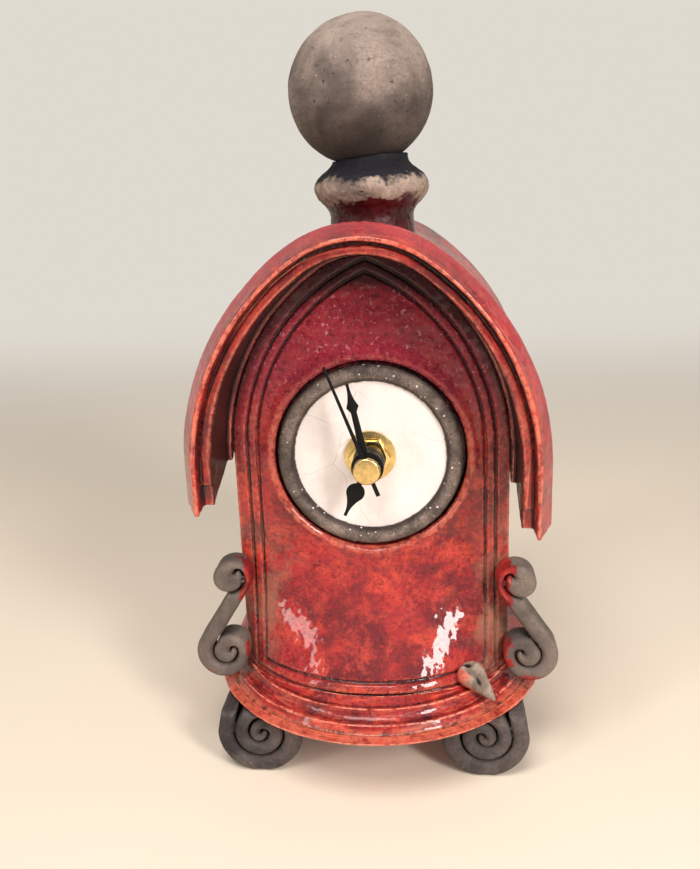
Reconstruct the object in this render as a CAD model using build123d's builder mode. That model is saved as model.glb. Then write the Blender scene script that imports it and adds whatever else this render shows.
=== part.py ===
from build123d import *
import os
from math import acos, asin, atan2, cos, degrees, hypot, radians, sin, sqrt

# A hand-built ceramic mantel clock: an arched case under a projecting hood, a ball finial on a
# thrown neck, rolled clay scrolls and feet, and a battery movement behind a round dial.
# Frame: X to the right, Y to the back, Z up, origin on the table under the middle of the clock.

# Case
case_half_width = 41.5
case_depth = 53.0
panel_thick = 6.0
wall_thick = 5.5
back_thick = 5.5
side_wall_top = 108.0
seam = 0.15
overrun = 1.0

# Arch: the long arcs of each side are struck from the far side of the middle line
spring_z = 98.0
arch_lead = 23.0
crown_rise = 32.8

# Hood moulding: widths of its steps from the case outwards, and their reaches ahead of the panel
soffit_width = 1.5
ridge_inner_slope = 0.3
ridge_width = 2.0
ridge_outer_slope = 0.8
edge_slope = 0.8
edge_width = 0.9
bevel_width = 3.7
rim_overhang = 2.0
hood_reach = 26.0
bevel_reach = 19.5
hood_groove_reach = 21.4
ridge_reach = 23.0
soffit_step = 2.4
left_tip_z = 86.0
left_eave_z = 96.4
left_ridge_z = 94.5
right_tip_z = 79.0
right_eave_z = 88.4
right_ridge_z = 87.0

# Roof vault
roof_sway = 1.6
roof_lip = 1.8

# Front panel's bow towards the foot, and its incised lines
bow_top_z = 70.0
bow_foot_z = 30.5
bow_reach = 24.0
bow_shares = (0.0, 0.22, 0.48, 0.74, 1.0)
bow_curve_share = 1.3
outer_line_inset = 4.0
inner_line_inset = 7.2
outer_line_foot_z = 29.0
inner_line_foot_z = 32.4
line_width = 1.0
line_depth = 0.9

# Base
base_under_z = 20.4
base_top_z = 25.5
base_overhang = 9.0
back_ledge = 3.0
back_corner_radius = 6.0
rim_spare = 2.6
rim_reach = 37.0
rim_drop = 1.0
rim_land = 2.9
rim_land_rise = 2.0
base_groove_width = 0.8
base_groove_depth = 0.5
lower_ridge_rise = 4.1
lower_ridge_width = 1.3
cove_width = 2.1
upper_ridge_rise = 7.2
upper_ridge_width = 1.3
moulding_top_rise = 9.4
moulding_top_width = 3.8
tread_lap = 2.9

# Feet: clay straps rolled up on the front and pressed under the base
left_foot_inset = 15.2
right_foot_inset = 17.0
foot_radius = 13.1
foot_strap = 4.7
foot_return_share = 0.6
foot_slit_shares = (-0.62, 0.56, -0.27, 0.195, 0.015)
slit_width = 0.6
foot_depth = 18.0
front_foot_reach = 21.0
back_foot_inset = 1.0
foot_lean = 1.5
foot_flat = 0.3

# S scrolls at the case's front corners
scroll_low_overhang = 5.3
scroll_low_rise = 8.8
scroll_low_radius = 9.2
scroll_low_turn = 45.0
scroll_return_share = 0.78
scroll_slit_shares = (-0.39, -0.15)
scroll_high_overhang = 3.0
left_lobe_z = 59.4
right_lobe_z = 58.2
lobe_radius = 4.6
lobe_press = 2.2
lobe_turn = 25.0
lobe_slit_end = 58.0
curl_radius = 1.2
curl_turn = 150.0
slit_lead = 4.0
slit_lead_turn = 8.0
scroll_strap = 5.0
scroll_depth = 9.5
scroll_edge_radius = 1.5
scroll_face_gap = 0.2

# Bird skull laid at the panel's foot: places along the beak with half widths and half heights
skull_inset = 11.7
skull_z = 31.6
skull_reach = 16.0
skull_marks = ((-4.2, 2.6, 2.2), (-1.8, 4.4, 3.6), (0.9, 4.8, 3.7), (3.6, 3.1, 2.7), (9.8, 0.6, 0.5))
beak_yaw = 46.0
beak_dip = 27.0
nostril_width = 1.0
nostril_length = 2.6
nostril_place = 2.6
brow_place = -2.2
brow_rise = 4.2
brow_radius = 1.7

# Finial: heights above the neck's foot, which is sunk into the roof's crown
neck_depth = 25.5
neck_shift = 1.0
neck_sink = 6.2
neck_foot_radius = 13.4
neck_waist_rise = 7.5
neck_waist_radius = 12.7
neck_marks = ((13.1, 9.6), (15.6, 12.6), (17.3, 16.2), (15.3, 20.2), (11.9, 23.2))
neck_top_rise = 26.0
neck_top_radius = 11.3
ball_radius = 21.4
ball_rise = 43.9
ball_shift = -1.3

# Dial
dial_z = 95.9
ring_outer_radius = 27.9
ring_width = 4.9
recess_gap = 1.1
recess_depth = 3.0
dial_inset = 0.1
ring_height = 2.3
dial_hole_gap = 0.3

# Movement fixing
bush_radius = 4.0
bush_front = 5.2
bush_flange_radius = 6.0
bush_flange_thick = 0.4
part_gap = 0.05
washer_radius = 7.75
washer_thick = 0.9
nut_flats = 11.0
nut_thick = 2.6
nut_bevel = 0.5
rubber_thick = 1.0
rubber_radius = 14.0

# Movement case
movement_half = 28.0
movement_depth = 16.0
movement_wall = 1.0
movement_front_wall = 1.2
bay_top = -12.0
bay_wall = 0.6
cover_thick = 1.2
cover_gap = 0.1
post_radius = 1.4
post_places = ((-24.5, 20.0), (-24.5, 3.0), (1.0, 24.4), (24.9, 0.0))
boss_radius = 1.5
gear_plate_front = -19.4
gear_plate_thick = 1.0

# Battery and its contacts
cell_radius = 7.1
cell_length = 50.0
cell_nub_radius = 2.7
cell_nub_length = 1.2
cell_centre_height = -19.5
cell_rest = 0.3
contact_thick = 0.4
contact_size = 9.0
contact_dimple_radius = 2.4
contact_gap = 0.1

# Motor and circuit
board_thick = 0.8
board_back = -12.8
board_low = (13.2, -11.0)
board_high = (22.8, 9.6)
board_post_radius = 1.2
board_post_inset = 2.6
crystal_radius = 1.0
crystal_length = 6.0
crystal_inset = 3.0
stator_thick = 1.0
stator_back = -13.0
stator_low = (9.6, 10.9)
stator_high = (26.2, 24.2)
stator_leg = 2.4
stator_core = 2.8
stator_yoke = 7.6
stator_hole_gap = 0.5
coil_radius = 3.0
coil_cheek_radius = 3.3
coil_cheek = 0.6
coil_end_gap = 0.2
magnet_radius = 3.0
magnet_length = 3.0

# Wheel work: each pair's centres are set by its module
going_module = 0.36
rotor_leaves = 8
intermediate_teeth = 48
intermediate_leaves = 12
second_teeth = 60
second_leaves = 8
third_teeth = 60
third_leaves = 8
centre_teeth = 64
cannon_leaves = 12
motion_teeth = 36
motion_leaves = 10
hour_teeth = 40
setting_teeth = 24
third_bearing = 150.0
intermediate_bearing = 60.0
rotor_bearing = 20.0
motion_bearing = 200.0
setting_bearing = 190.0
wheel_thick = 0.8
leaf_thick = 1.2
addendum_share = 0.9
dedendum_share = 1.25
wheel_tip_share = 0.09
wheel_root_share = 0.27
leaf_tip_share = 0.07
leaf_root_share = 0.21
hub_radius = 1.3
arbor_radius = 0.6
pivot_gap = 0.05

# Depths of the wheels' back faces, measured from the dial's face
hour_wheel_back = -9.9
motion_back = -11.4
centre_back = -13.0
third_back = -14.6
second_back = -16.4
intermediate_back = -18.0
rotor_back = -18.2
magnet_back = -14.0

# Centre arbors and tubes
second_arbor_radius = 0.7
minute_tube_radius = 1.5
hour_tube_radius = 2.45
minute_tube_front = 12.4
second_arbor_front = 14.6
hour_tube_front = 9.0

# Hands
hub_black_radius = 4.7
hour_hub_back = 6.4
hour_hub_front = 9.2
hour_blade_back = 8.2
hour_length = 17.6
hour_stem_width = 1.7
hour_spade_place = 9.6
hour_spade_radius = 2.75
hour_spade_turn = 30.0
hour_waist_place = 13.4
hour_waist_width = 2.2
hour_tip_width = 1.0
minute_hub_back = 9.8
minute_hub_front = 12.6
minute_blade_back = 11.8
minute_length = 25.2
minute_root_width = 2.4
minute_stem_width = 1.7
minute_stem_length = 16.8
minute_wide_place = 18.4
minute_wide = 3.6
minute_waist_place = 20.9
minute_waist_width = 1.7
minute_tip_width = 0.9
blade_thick = 0.5
second_blade_back = 13.4
second_hub_radius = 1.6
second_length = 32.0
second_tail = 8.6
second_width = 1.2
second_tip_share = 0.6
cap_back = 14.7
cap_front = 16.4
cap_radius = 3.95
cap_bevel = 0.4
hour_angle = 205.0
minute_angle = -11.5
second_angle = -20.6

# Setting knob and the hand hole in the back wall
knob_radius = 5.5
knob_thick = 3.0
knob_lift = 0.5
knob_flutes = 12
knob_flute_radius = 0.6
setting_shaft_radius = 1.2
hand_hole_half_width = 29.0
hand_hole_low_z = 60.0
hand_hole_spring_z = 100.0
hand_hole_corner = 8.0

soffit_half_width = case_half_width + soffit_width
ridge_inner_half = soffit_half_width + ridge_inner_slope
ridge_outer_half = ridge_inner_half + ridge_width
hood_groove_half_width = ridge_outer_half + ridge_outer_slope
edge_inner_half = hood_groove_half_width + edge_slope
edge_half_width = edge_inner_half + edge_width
rim_half_width = edge_half_width + bevel_width
roof_half_width = rim_half_width - rim_overhang
outer_line_half_width = case_half_width - outer_line_inset
inner_line_half_width = case_half_width - inner_line_inset
base_half_width = case_half_width + base_overhang
rim_radius = base_half_width + rim_spare
ring_inner_radius = ring_outer_radius - ring_width
recess_radius = ring_outer_radius + recess_gap
dial_radius = ring_outer_radius - dial_inset
roof_top = spring_z + crown_rise + roof_half_width + arch_lead - hypot(crown_rise, arch_lead)
neck_foot_z = roof_top - neck_sink
overall_depth = rim_reach + case_depth + back_ledge
face_y = rim_reach - overall_depth / 2
front = Plane(origin=(0, face_y, 0), x_dir=(1, 0, 0), z_dir=(0, -1, 0))
ground = Plane(origin=(0, face_y, 0), x_dir=(1, 0, 0), z_dir=(0, 0, 1))
dial = Plane(origin=(0, face_y, dial_z), x_dir=(1, 0, 0), z_dir=(0, -1, 0))


def arch_lines(half_width, left_foot, right_foot, pointed=False):
    """Open arch from the right foot over the crown to the left foot."""
    reach = half_width + arch_lead
    rise = sqrt(reach**2 - arch_lead**2) if pointed else crown_rise
    turn = degrees(atan2(rise, arch_lead))
    Line((half_width, right_foot), (half_width, spring_z))
    CenterArc((-arch_lead, spring_z), reach, 0, turn)
    if not pointed:
        crown_radius = reach - hypot(crown_rise, arch_lead)
        CenterArc((0, spring_z + crown_rise), crown_radius, turn, 180 - 2 * turn)
    CenterArc((arch_lead, spring_z), reach, 180 - turn, turn)
    Line((-half_width, spring_z), (-half_width, left_foot))


def arch_outline(half_width, foot_z, pointed=False):
    """Closed arch with a level foot."""
    with BuildLine() as outline:
        arch_lines(half_width, foot_z, foot_z, pointed)
        Line((-half_width, foot_z), (half_width, foot_z))
    return outline.edges()


def bowed_outline(bow):
    """Section of the front panel at one height: a strip bowed forward by the given amount."""
    half, back = case_half_width, panel_thick
    with BuildLine() as outline:
        if bow > 0:
            ThreePointArc((-half, 0), (0, -bow), (half, 0))
            ThreePointArc((half, back), (0, back - bow), (-half, back))
        else:
            Line((-half, 0), (half, 0))
            Line((half, back), (-half, back))
        Line((half, 0), (half, back))
        Line((-half, back), (-half, 0))
    return outline.edges()


# Front panel: a slab with an arched head, flat round the dial and bowed forward at the foot
with BuildPart() as panel_body:
    with BuildSketch(front.offset(-panel_thick)):
        make_face(arch_outline(case_half_width, bow_top_z))
    extrude(amount=panel_thick)
    for share in bow_shares:
        with BuildSketch(ground.offset(bow_top_z - share * (bow_top_z - bow_foot_z))):
            make_face(bowed_outline(bow_reach * share**bow_curve_share))
    loft()
    with BuildSketch(ground.offset(base_top_z)):
        make_face(bowed_outline(bow_reach))
    extrude(amount=bow_foot_z - base_top_z)

# Incised lines follow the panel's edge: a shallow skin of the slab inside two thin frames
with BuildPart() as panel_lines:
    with BuildSketch(front.offset(-panel_thick)):
        half_line = line_width / 2
        for half_width, foot_z in (
            (outer_line_half_width, outer_line_foot_z),
            (inner_line_half_width, inner_line_foot_z),
        ):
            make_face(arch_outline(half_width + half_line, foot_z - half_line, pointed=True))
            make_face(
                arch_outline(half_width - half_line, foot_z + half_line, pointed=True),
                mode=Mode.SUBTRACT,
            )
    extrude(amount=panel_thick + bow_reach + overrun)
    add(panel_body.part, mode=Mode.INTERSECT)
    add(panel_body.part.moved(Location((0, line_depth, 0))), mode=Mode.SUBTRACT)

with BuildPart() as front_panel:
    add(panel_body.part)
    add(panel_lines.part, mode=Mode.SUBTRACT)
    with BuildSketch(dial.offset(bow_reach)):
        Circle(recess_radius)
    extrude(amount=-bow_reach - recess_depth, mode=Mode.SUBTRACT)
    with BuildSketch(dial):
        Circle(bush_radius + dial_hole_gap)
    extrude(amount=-panel_thick, mode=Mode.SUBTRACT)
front_panel.part.label = "front_panel"

# Hood: a stepped moulding bent over the front arch, its lower ends cut to hanging tips
eave_low_z = min(left_tip_z, right_tip_z) - overrun
with BuildPart() as hood_moulding:
    with BuildLine(front) as hood_path:
        arch_lines(case_half_width, eave_low_z, eave_low_z)
    with BuildSketch(ground.offset(eave_low_z)):
        with BuildLine():
            Polyline(
                (case_half_width, 0),
                (roof_half_width, 0),
                (roof_half_width, -hood_reach / 2),
                (rim_half_width, -bevel_reach),
                (edge_half_width, -hood_reach),
                (edge_inner_half, -hood_reach),
                (hood_groove_half_width, -hood_groove_reach),
                (ridge_outer_half, -ridge_reach),
                (ridge_inner_half, -ridge_reach),
                (soffit_half_width, -hood_groove_reach),
                (soffit_half_width, -soffit_step),
                (case_half_width, -soffit_step),
                close=True,
            )
        make_face()
    sweep(path=hood_path.wire())
    for side, tip_z, eave_z, ridge_z in (
        (-1, left_tip_z, left_eave_z, left_ridge_z),
        (1, right_tip_z, right_eave_z, right_ridge_z),
    ):
        low_z = eave_low_z - overrun
        with BuildSketch(Plane.YZ):
            with BuildLine():
                Polyline(
                    (face_y + overrun, low_z),
                    (face_y + overrun, eave_z + overrun * (eave_z - tip_z) / hood_reach),
                    (face_y, eave_z),
                    (face_y - hood_reach, tip_z),
                    (face_y - hood_reach - overrun, tip_z),
                    (face_y - hood_reach - overrun, low_z),
                    close=True,
                )
            make_face()
        extrude(amount=side * (rim_half_width + overrun), mode=Mode.SUBTRACT)
        ridge_middle = (soffit_half_width + hood_groove_half_width) / 2
        with BuildSketch(ground.offset(ridge_z)):
            with Locations((side * ridge_middle, -ridge_reach)):
                Rectangle(hood_groove_half_width - soffit_half_width, 2 * (ridge_reach - hood_groove_reach))
        extrude(amount=low_z - ridge_z, mode=Mode.SUBTRACT)
hood_moulding.part.label = "hood_moulding"

# Roof vault: a slab laid over the panel, walls and back, a little swayed, with a raised back lip
roof_inner = case_half_width + seam
with BuildPart() as roof_vault:
    with BuildLine(front) as roof_path:
        arch_lines(roof_inner, right_eave_z, right_eave_z)
    with BuildSketch(ground.offset(right_eave_z)):
        with BuildLine():
            Line((roof_inner, case_depth), (roof_inner, 0))
            Line((roof_inner, 0), (roof_half_width, 0))
            ThreePointArc(
                (roof_half_width, 0),
                (roof_half_width - roof_sway, case_depth / 2),
                (rim_half_width, case_depth - roof_lip),
            )
            Line((rim_half_width, case_depth - roof_lip), (rim_half_width - roof_lip, case_depth))
            Line((rim_half_width - roof_lip, case_depth), (roof_inner, case_depth))
        make_face()
    sweep(path=roof_path.wire())
    with BuildSketch(ground.offset(right_eave_z - overrun)):
        with Locations((-(roof_inner + rim_half_width) / 2, case_depth / 2)):
            Rectangle(rim_half_width - roof_inner + 2 * overrun, case_depth + 2 * overrun)
    extrude(amount=left_eave_z - right_eave_z + overrun, mode=Mode.SUBTRACT)
roof_vault.part.label = "roof_vault"

# Side walls stand on the base plate and run up inside the roof
wall_length = case_depth - panel_thick - back_thick
wall_height = side_wall_top - base_top_z
side_walls = {}
for name, side in (("side_wall_left", -1), ("side_wall_right", 1)):
    with BuildPart() as side_wall:
        with BuildSketch(front.offset(-panel_thick)):
            make_face(arch_outline(case_half_width, base_top_z))
            make_face(arch_outline(case_half_width - wall_thick, base_top_z - overrun), mode=Mode.SUBTRACT)
            with Locations((side * case_half_width, base_top_z + wall_height / 2)):
                Rectangle(4 * wall_thick, wall_height, mode=Mode.INTERSECT)
        extrude(amount=-wall_length)
    side_wall.part.label = name
    side_walls[name] = side_wall.part

# Back wall with an arched hand hole, for the battery and the setting knob
with BuildPart() as back_wall:
    with BuildSketch(front.offset(-case_depth)):
        make_face(arch_outline(case_half_width, base_top_z))
    extrude(amount=back_thick)
    with BuildSketch(front.offset(-case_depth - overrun)) as hand_hole:
        with Locations((0, hand_hole_spring_z)):
            Circle(hand_hole_half_width)
        hole_height = hand_hole_spring_z - hand_hole_low_z
        with Locations((0, hand_hole_low_z + hole_height / 2)):
            Rectangle(2 * hand_hole_half_width, hole_height)
        fillet(hand_hole.vertices().group_by(Axis.Y)[0], hand_hole_corner)
    extrude(amount=back_thick + 2 * overrun, mode=Mode.SUBTRACT)
back_wall.part.label = "back_wall"

# Base plate: a slab under the case, its front edge an arc inside the moulding
corner_turn = degrees(asin(base_half_width / rim_radius))
rim_centre = rim_radius - rim_reach
land_radius = rim_radius - rim_land
ridge_radius = land_radius - base_groove_width - lower_ridge_width
cove_outer = ridge_radius - lower_ridge_width
cove_radius = cove_outer - cove_width
top_radius = cove_radius - upper_ridge_width
moulding_inner_radius = top_radius - moulding_top_width
tread_radius = moulding_inner_radius + tread_lap
corner_y = rim_centre - rim_radius * cos(radians(corner_turn))
tread_corner = (
    tread_radius * sin(radians(corner_turn)),
    rim_centre - tread_radius * cos(radians(corner_turn)),
)
plate_back = case_depth + back_ledge
with BuildPart() as base_plate:
    with BuildSketch(ground.offset(base_under_z)) as plate_plan:
        with BuildLine():
            Polyline(
                tread_corner,
                (base_half_width, corner_y),
                (base_half_width, plate_back),
                (-base_half_width, plate_back),
                (-base_half_width, corner_y),
                (-tread_corner[0], tread_corner[1]),
            )
            ThreePointArc(
                (-tread_corner[0], tread_corner[1]), (0, rim_centre - tread_radius), tread_corner
            )
        make_face()
        fillet(plate_plan.vertices().group_by(Axis.Y)[-1], back_corner_radius)
    extrude(amount=base_top_z - base_under_z)
base_plate.part.label = "base_plate"


def case_footprint():
    """Outline of the case where it stands on the base plate."""
    with BuildLine() as outline:
        ThreePointArc((-case_half_width, 0), (0, -bow_reach), (case_half_width, 0))
        Polyline(
            (case_half_width, 0),
            (case_half_width, case_depth),
            (-case_half_width, case_depth),
            (-case_half_width, 0),
        )
    return outline.edges()


# Base moulding: two ridges, a cove and a flat rim, turned about one centre from corner to corner
with BuildPart() as base_moulding:
    start = radians(-90 - corner_turn)
    outward = (cos(start), sin(start), 0)
    section = Plane(
        origin=(0, face_y + rim_centre, base_under_z), x_dir=outward, z_dir=(outward[1], -outward[0], 0)
    )
    with BuildSketch(section):
        with BuildLine():
            plate_thick = base_top_z - base_under_z
            Polyline(
                (moulding_inner_radius, plate_thick),
                (tread_radius, plate_thick),
                (tread_radius, 0),
                (rim_radius - rim_drop, 0),
                (rim_radius, rim_drop),
                (land_radius, rim_land_rise),
                (land_radius - base_groove_width, rim_land_rise - base_groove_depth),
                (ridge_radius, lower_ridge_rise),
                (cove_outer, lower_ridge_rise),
            )
            ThreePointArc(
                (cove_outer, lower_ridge_rise),
                ((cove_outer + cove_radius) / 2, plate_thick - base_groove_depth),
                (cove_radius, upper_ridge_rise),
            )
            Polyline(
                (cove_radius, upper_ridge_rise),
                (top_radius, upper_ridge_rise),
                (moulding_inner_radius, moulding_top_rise),
                (moulding_inner_radius, plate_thick),
            )
        make_face()
    revolve(axis=Axis((0, face_y + rim_centre, 0), (0, 0, 1)), revolution_arc=2 * corner_turn)
    with BuildSketch(ground.offset(base_top_z)):
        make_face(case_footprint())
    extrude(amount=moulding_top_rise, mode=Mode.SUBTRACT)
base_moulding.part.label = "base_moulding"


def spot(frame, across, along):
    """Point of a coil, from its middle and its two directions on the sketch."""
    middle, side_way, up_way = frame
    return middle + side_way * across + up_way * along


def coil_arcs(frame, marks, way):
    """Half circles from mark to mark across a coil, the first one turned to the given side."""
    for begin, end in zip(marks, marks[1:]):
        rise = way * abs(end - begin) / 2
        ThreePointArc(
            spot(frame, begin, 0), spot(frame, (begin + end) / 2, rise), spot(frame, end, 0)
        )
        way = -way


def coil_turn(frame, radius, begin, end):
    """Arc about a coil's middle between two bearings."""
    points = []
    for bearing in (begin, (begin + end) / 2, end):
        points.append(spot(frame, radius * cos(radians(bearing)), radius * sin(radians(bearing))))
    ThreePointArc(*points)


def coil_sector(frame, radius, begin):
    """Outline of a sector about a coil's middle, from a bearing round to the coil's level."""
    with BuildLine() as outline:
        coil_turn(frame, radius, begin, 0)
        Line(spot(frame, radius, 0), spot(frame, 0, 0))
        Line(
            spot(frame, 0, 0),
            spot(frame, radius * cos(radians(begin)), radius * sin(radians(begin))),
        )
    return outline.edges()


# Feet: a round of clay whose slit shows the strap's turns; the outer turn runs up to the base
foot_level = foot_radius - foot_flat
strap_inner = foot_radius - foot_strap
foot_return = foot_return_share * foot_radius
feet = {}
for name, side, inset, reach in (
    ("foot_front_left", 1, left_foot_inset, -front_foot_reach),
    ("foot_front_right", -1, right_foot_inset, -front_foot_reach),
    ("foot_back_left", 1, left_foot_inset, plate_back - back_foot_inset - foot_depth),
    ("foot_back_right", -1, right_foot_inset, plate_back - back_foot_inset - foot_depth),
):
    foot_x = -side * (base_half_width - inset)
    frame = (Vector(foot_x, foot_level), Vector(side, 0), Vector(0, 1))
    tail_rise = base_under_z - foot_level
    with BuildPart() as foot:
        with BuildSketch(front.offset(-reach)):
            with BuildLine():
                coil_arcs(frame, (-foot_radius, foot_radius, -foot_return), -1)
                Polyline(
                    spot(frame, -foot_return, 0),
                    spot(frame, -strap_inner, 0),
                    spot(frame, foot_lean - strap_inner, tail_rise),
                    spot(frame, foot_lean - foot_radius, tail_rise),
                    spot(frame, -foot_radius, 0),
                )
            make_face()
            with BuildLine() as slit:
                coil_arcs(frame, [share * foot_radius for share in foot_slit_shares], -1)
            trace(slit.edges(), slit_width, mode=Mode.SUBTRACT)
            with Locations((foot_x, base_under_z / 2)):
                Rectangle(3 * foot_radius, base_under_z, mode=Mode.INTERSECT)
        extrude(amount=-foot_depth)
    foot.part.label = name
    feet[name] = foot.part

# Scrolls: a strap rolled into a low volute and folded over a lobe at the top, pressed on the corner
scroll_low_x = case_half_width + scroll_low_overhang
scroll_high_x = case_half_width + scroll_high_overhang
scroll_low_z = base_top_z + scroll_low_rise
lobe_contact = lobe_radius - lobe_press
scroll_plane = front.offset(scroll_face_gap)
low_inner = scroll_low_radius - scroll_strap
low_return = scroll_return_share * scroll_low_radius
low_slits = [low_inner] + [share * scroll_low_radius for share in scroll_slit_shares]
scrolls = {}
for name, side, lobe_z in (("scroll_left", -1, left_lobe_z), ("scroll_right", 1, right_lobe_z)):
    span_x = scroll_low_x - scroll_high_x
    span_z = lobe_z - scroll_low_z
    drop = scroll_low_radius + lobe_contact
    shank_length = sqrt(span_x**2 + span_z**2 - drop**2)
    shank_bearing = 90 - degrees(atan2(span_z, span_x)) + degrees(asin(drop / hypot(span_x, span_z)))
    frames = []
    for middle_x, middle_z, bearing in (
        (scroll_low_x, scroll_low_z, shank_bearing),
        (scroll_low_x, scroll_low_z, shank_bearing - scroll_low_turn),
        (scroll_high_x, lobe_z, shank_bearing + 180 - lobe_turn),
    ):
        across, along = cos(radians(bearing)), sin(radians(bearing))
        frames.append(
            (Vector(side * middle_x, middle_z), Vector(side * across, along), Vector(-side * along, across))
        )
    shank, low, high = frames
    slit_reach = lobe_radius + slit_width / 2
    slit_start = lobe_turn + degrees(acos(lobe_contact / slit_reach)) + slit_lead_turn
    slit_end = lobe_turn - lobe_slit_end
    end_reach = slit_reach - curl_radius
    end_middle = spot(high, end_reach * cos(radians(slit_end)), end_reach * sin(radians(slit_end)))
    with BuildPart() as scroll:
        with BuildSketch(scroll_plane):
            make_face(coil_sector(low, scroll_low_radius, scroll_low_turn))
            with BuildLine():
                coil_arcs(low, (scroll_low_radius, -low_return, low_inner), -1)
                Line(spot(low, low_inner, 0), spot(low, scroll_low_radius, 0))
            make_face()
            with BuildLine():
                Polyline(
                    spot(shank, low_inner, 0),
                    spot(shank, scroll_low_radius, 0),
                    spot(shank, scroll_low_radius, shank_length),
                    spot(shank, low_inner, shank_length),
                    close=True,
                )
            make_face()
            make_face(coil_sector(high, lobe_contact + scroll_strap, lobe_turn))
            with BuildLine():
                coil_arcs(high, (lobe_contact + scroll_strap, -lobe_radius), -1)
                Line(spot(high, -lobe_radius, 0), spot(high, lobe_contact + scroll_strap, 0))
            make_face()
            with Locations(high[0]):
                Circle(lobe_radius)
        extrude(amount=scroll_depth)
        fillet(scroll.faces().sort_by(Axis.Y)[0].edges(), scroll_edge_radius)
        with BuildSketch(scroll_plane):
            with BuildLine() as low_slit:
                Line(spot(shank, low_inner, slit_lead), spot(shank, low_inner, 0))
                coil_turn(low, low_inner, scroll_low_turn, 0)
                coil_arcs(low, low_slits, -1)
            trace(low_slit.edges(), slit_width)
            with BuildLine() as lobe_slit:
                coil_turn(high, slit_reach, slit_start, slit_end)
                coil_turn((end_middle, high[1], high[2]), curl_radius, slit_end, slit_end - curl_turn)
            trace(lobe_slit.edges(), slit_width)
        extrude(amount=scroll_depth, mode=Mode.SUBTRACT)
        with BuildSketch(Plane.XY.offset(base_top_z)):
            Rectangle(4 * base_half_width, 4 * base_half_width)
        extrude(amount=-scroll_strap, mode=Mode.SUBTRACT)
        add(base_moulding.part, mode=Mode.SUBTRACT)
        add(front_panel.part, mode=Mode.SUBTRACT)
    scroll.part.label = name
    scrolls[name] = scroll.part

# Bird skull: a round brain case running into a narrow beak, bedded on the moulding
skull_heading = radians(beak_yaw)
skull_dip = radians(beak_dip)
beak_way = Vector(
    sin(skull_heading) * cos(skull_dip), -cos(skull_heading) * cos(skull_dip), -sin(skull_dip)
)
skull_centre = Vector(case_half_width - skull_inset, face_y - skull_reach, skull_z)
skull_plane = Plane(origin=skull_centre, x_dir=beak_way, z_dir=beak_way.cross(Vector(0, 0, 1)))
with BuildPart() as bird_skull:
    for place, half_width, half_height in skull_marks:
        section_plane = Plane(
            origin=skull_centre + beak_way * place, x_dir=skull_plane.z_dir, z_dir=beak_way
        )
        with BuildSketch(section_plane):
            Ellipse(half_width, half_height)
    loft()
    with BuildSketch(skull_plane):
        with Locations((nostril_place, 0)):
            SlotOverall(nostril_length, nostril_width)
    extrude(amount=base_half_width, both=True, mode=Mode.SUBTRACT)
    with Locations(skull_plane.from_local_coords(Vector(brow_place, brow_rise, 0))):
        Sphere(brow_radius, mode=Mode.SUBTRACT)
    add(front_panel.part, mode=Mode.SUBTRACT)
    add(base_moulding.part, mode=Mode.SUBTRACT)
bird_skull.part.label = "bird_skull"

# Finial: a thrown neck luted to the roof, and a hollow ball set in its dished top
neck_axis = Plane(
    origin=(neck_shift, face_y + neck_depth, neck_foot_z), x_dir=(1, 0, 0), z_dir=(0, -1, 0)
)
ball_centre = (ball_shift, face_y + neck_depth, neck_foot_z + ball_rise)
with BuildPart() as finial_neck:
    with BuildSketch(neck_axis):
        with BuildLine():
            Polyline((neck_top_radius, neck_top_rise), (0, neck_top_rise), (0, 0))
            Polyline((0, 0), (neck_foot_radius, 0), (neck_waist_radius, neck_waist_rise))
            Spline((neck_waist_radius, neck_waist_rise), *neck_marks, (neck_top_radius, neck_top_rise))
        make_face()
    revolve(axis=Axis(neck_axis.origin, (0, 0, 1)))
    with Locations(ball_centre):
        Sphere(ball_radius + seam, mode=Mode.SUBTRACT)
    add(roof_vault.part, mode=Mode.SUBTRACT)
finial_neck.part.label = "finial_neck"

with BuildPart() as finial_ball:
    with Locations(ball_centre):
        Sphere(ball_radius)
finial_ball.part.label = "finial_ball"

# Dial: a glazed disc bedded in the panel's recess, with an unglazed half round rim
with BuildPart() as dial_disc:
    with BuildSketch(dial.offset(-recess_depth)):
        Circle(dial_radius)
        Circle(bush_radius + dial_hole_gap, mode=Mode.SUBTRACT)
    extrude(amount=recess_depth)
dial_disc.part.label = "dial_disc"

ring_section = Plane(origin=(0, face_y, dial_z), x_dir=(1, 0, 0), z_dir=(0, 0, 1))
with BuildPart() as dial_ring:
    with BuildSketch(ring_section):
        with BuildLine():
            ring_middle = (ring_inner_radius + ring_outer_radius) / 2
            Line((ring_inner_radius, 0), (ring_outer_radius, 0))
            ThreePointArc((ring_outer_radius, 0), (ring_middle, -ring_height), (ring_inner_radius, 0))
        make_face()
    revolve(axis=Axis(dial.origin, (0, 1, 0)))
dial_ring.part.label = "dial_ring"


def washer(inner, outer, back, thick):
    """Flat ring about the dial's axis."""
    with BuildPart() as ring:
        with BuildSketch(dial.offset(back)):
            Circle(outer)
            Circle(inner, mode=Mode.SUBTRACT)
        extrude(amount=thick)
    return ring.part


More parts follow.
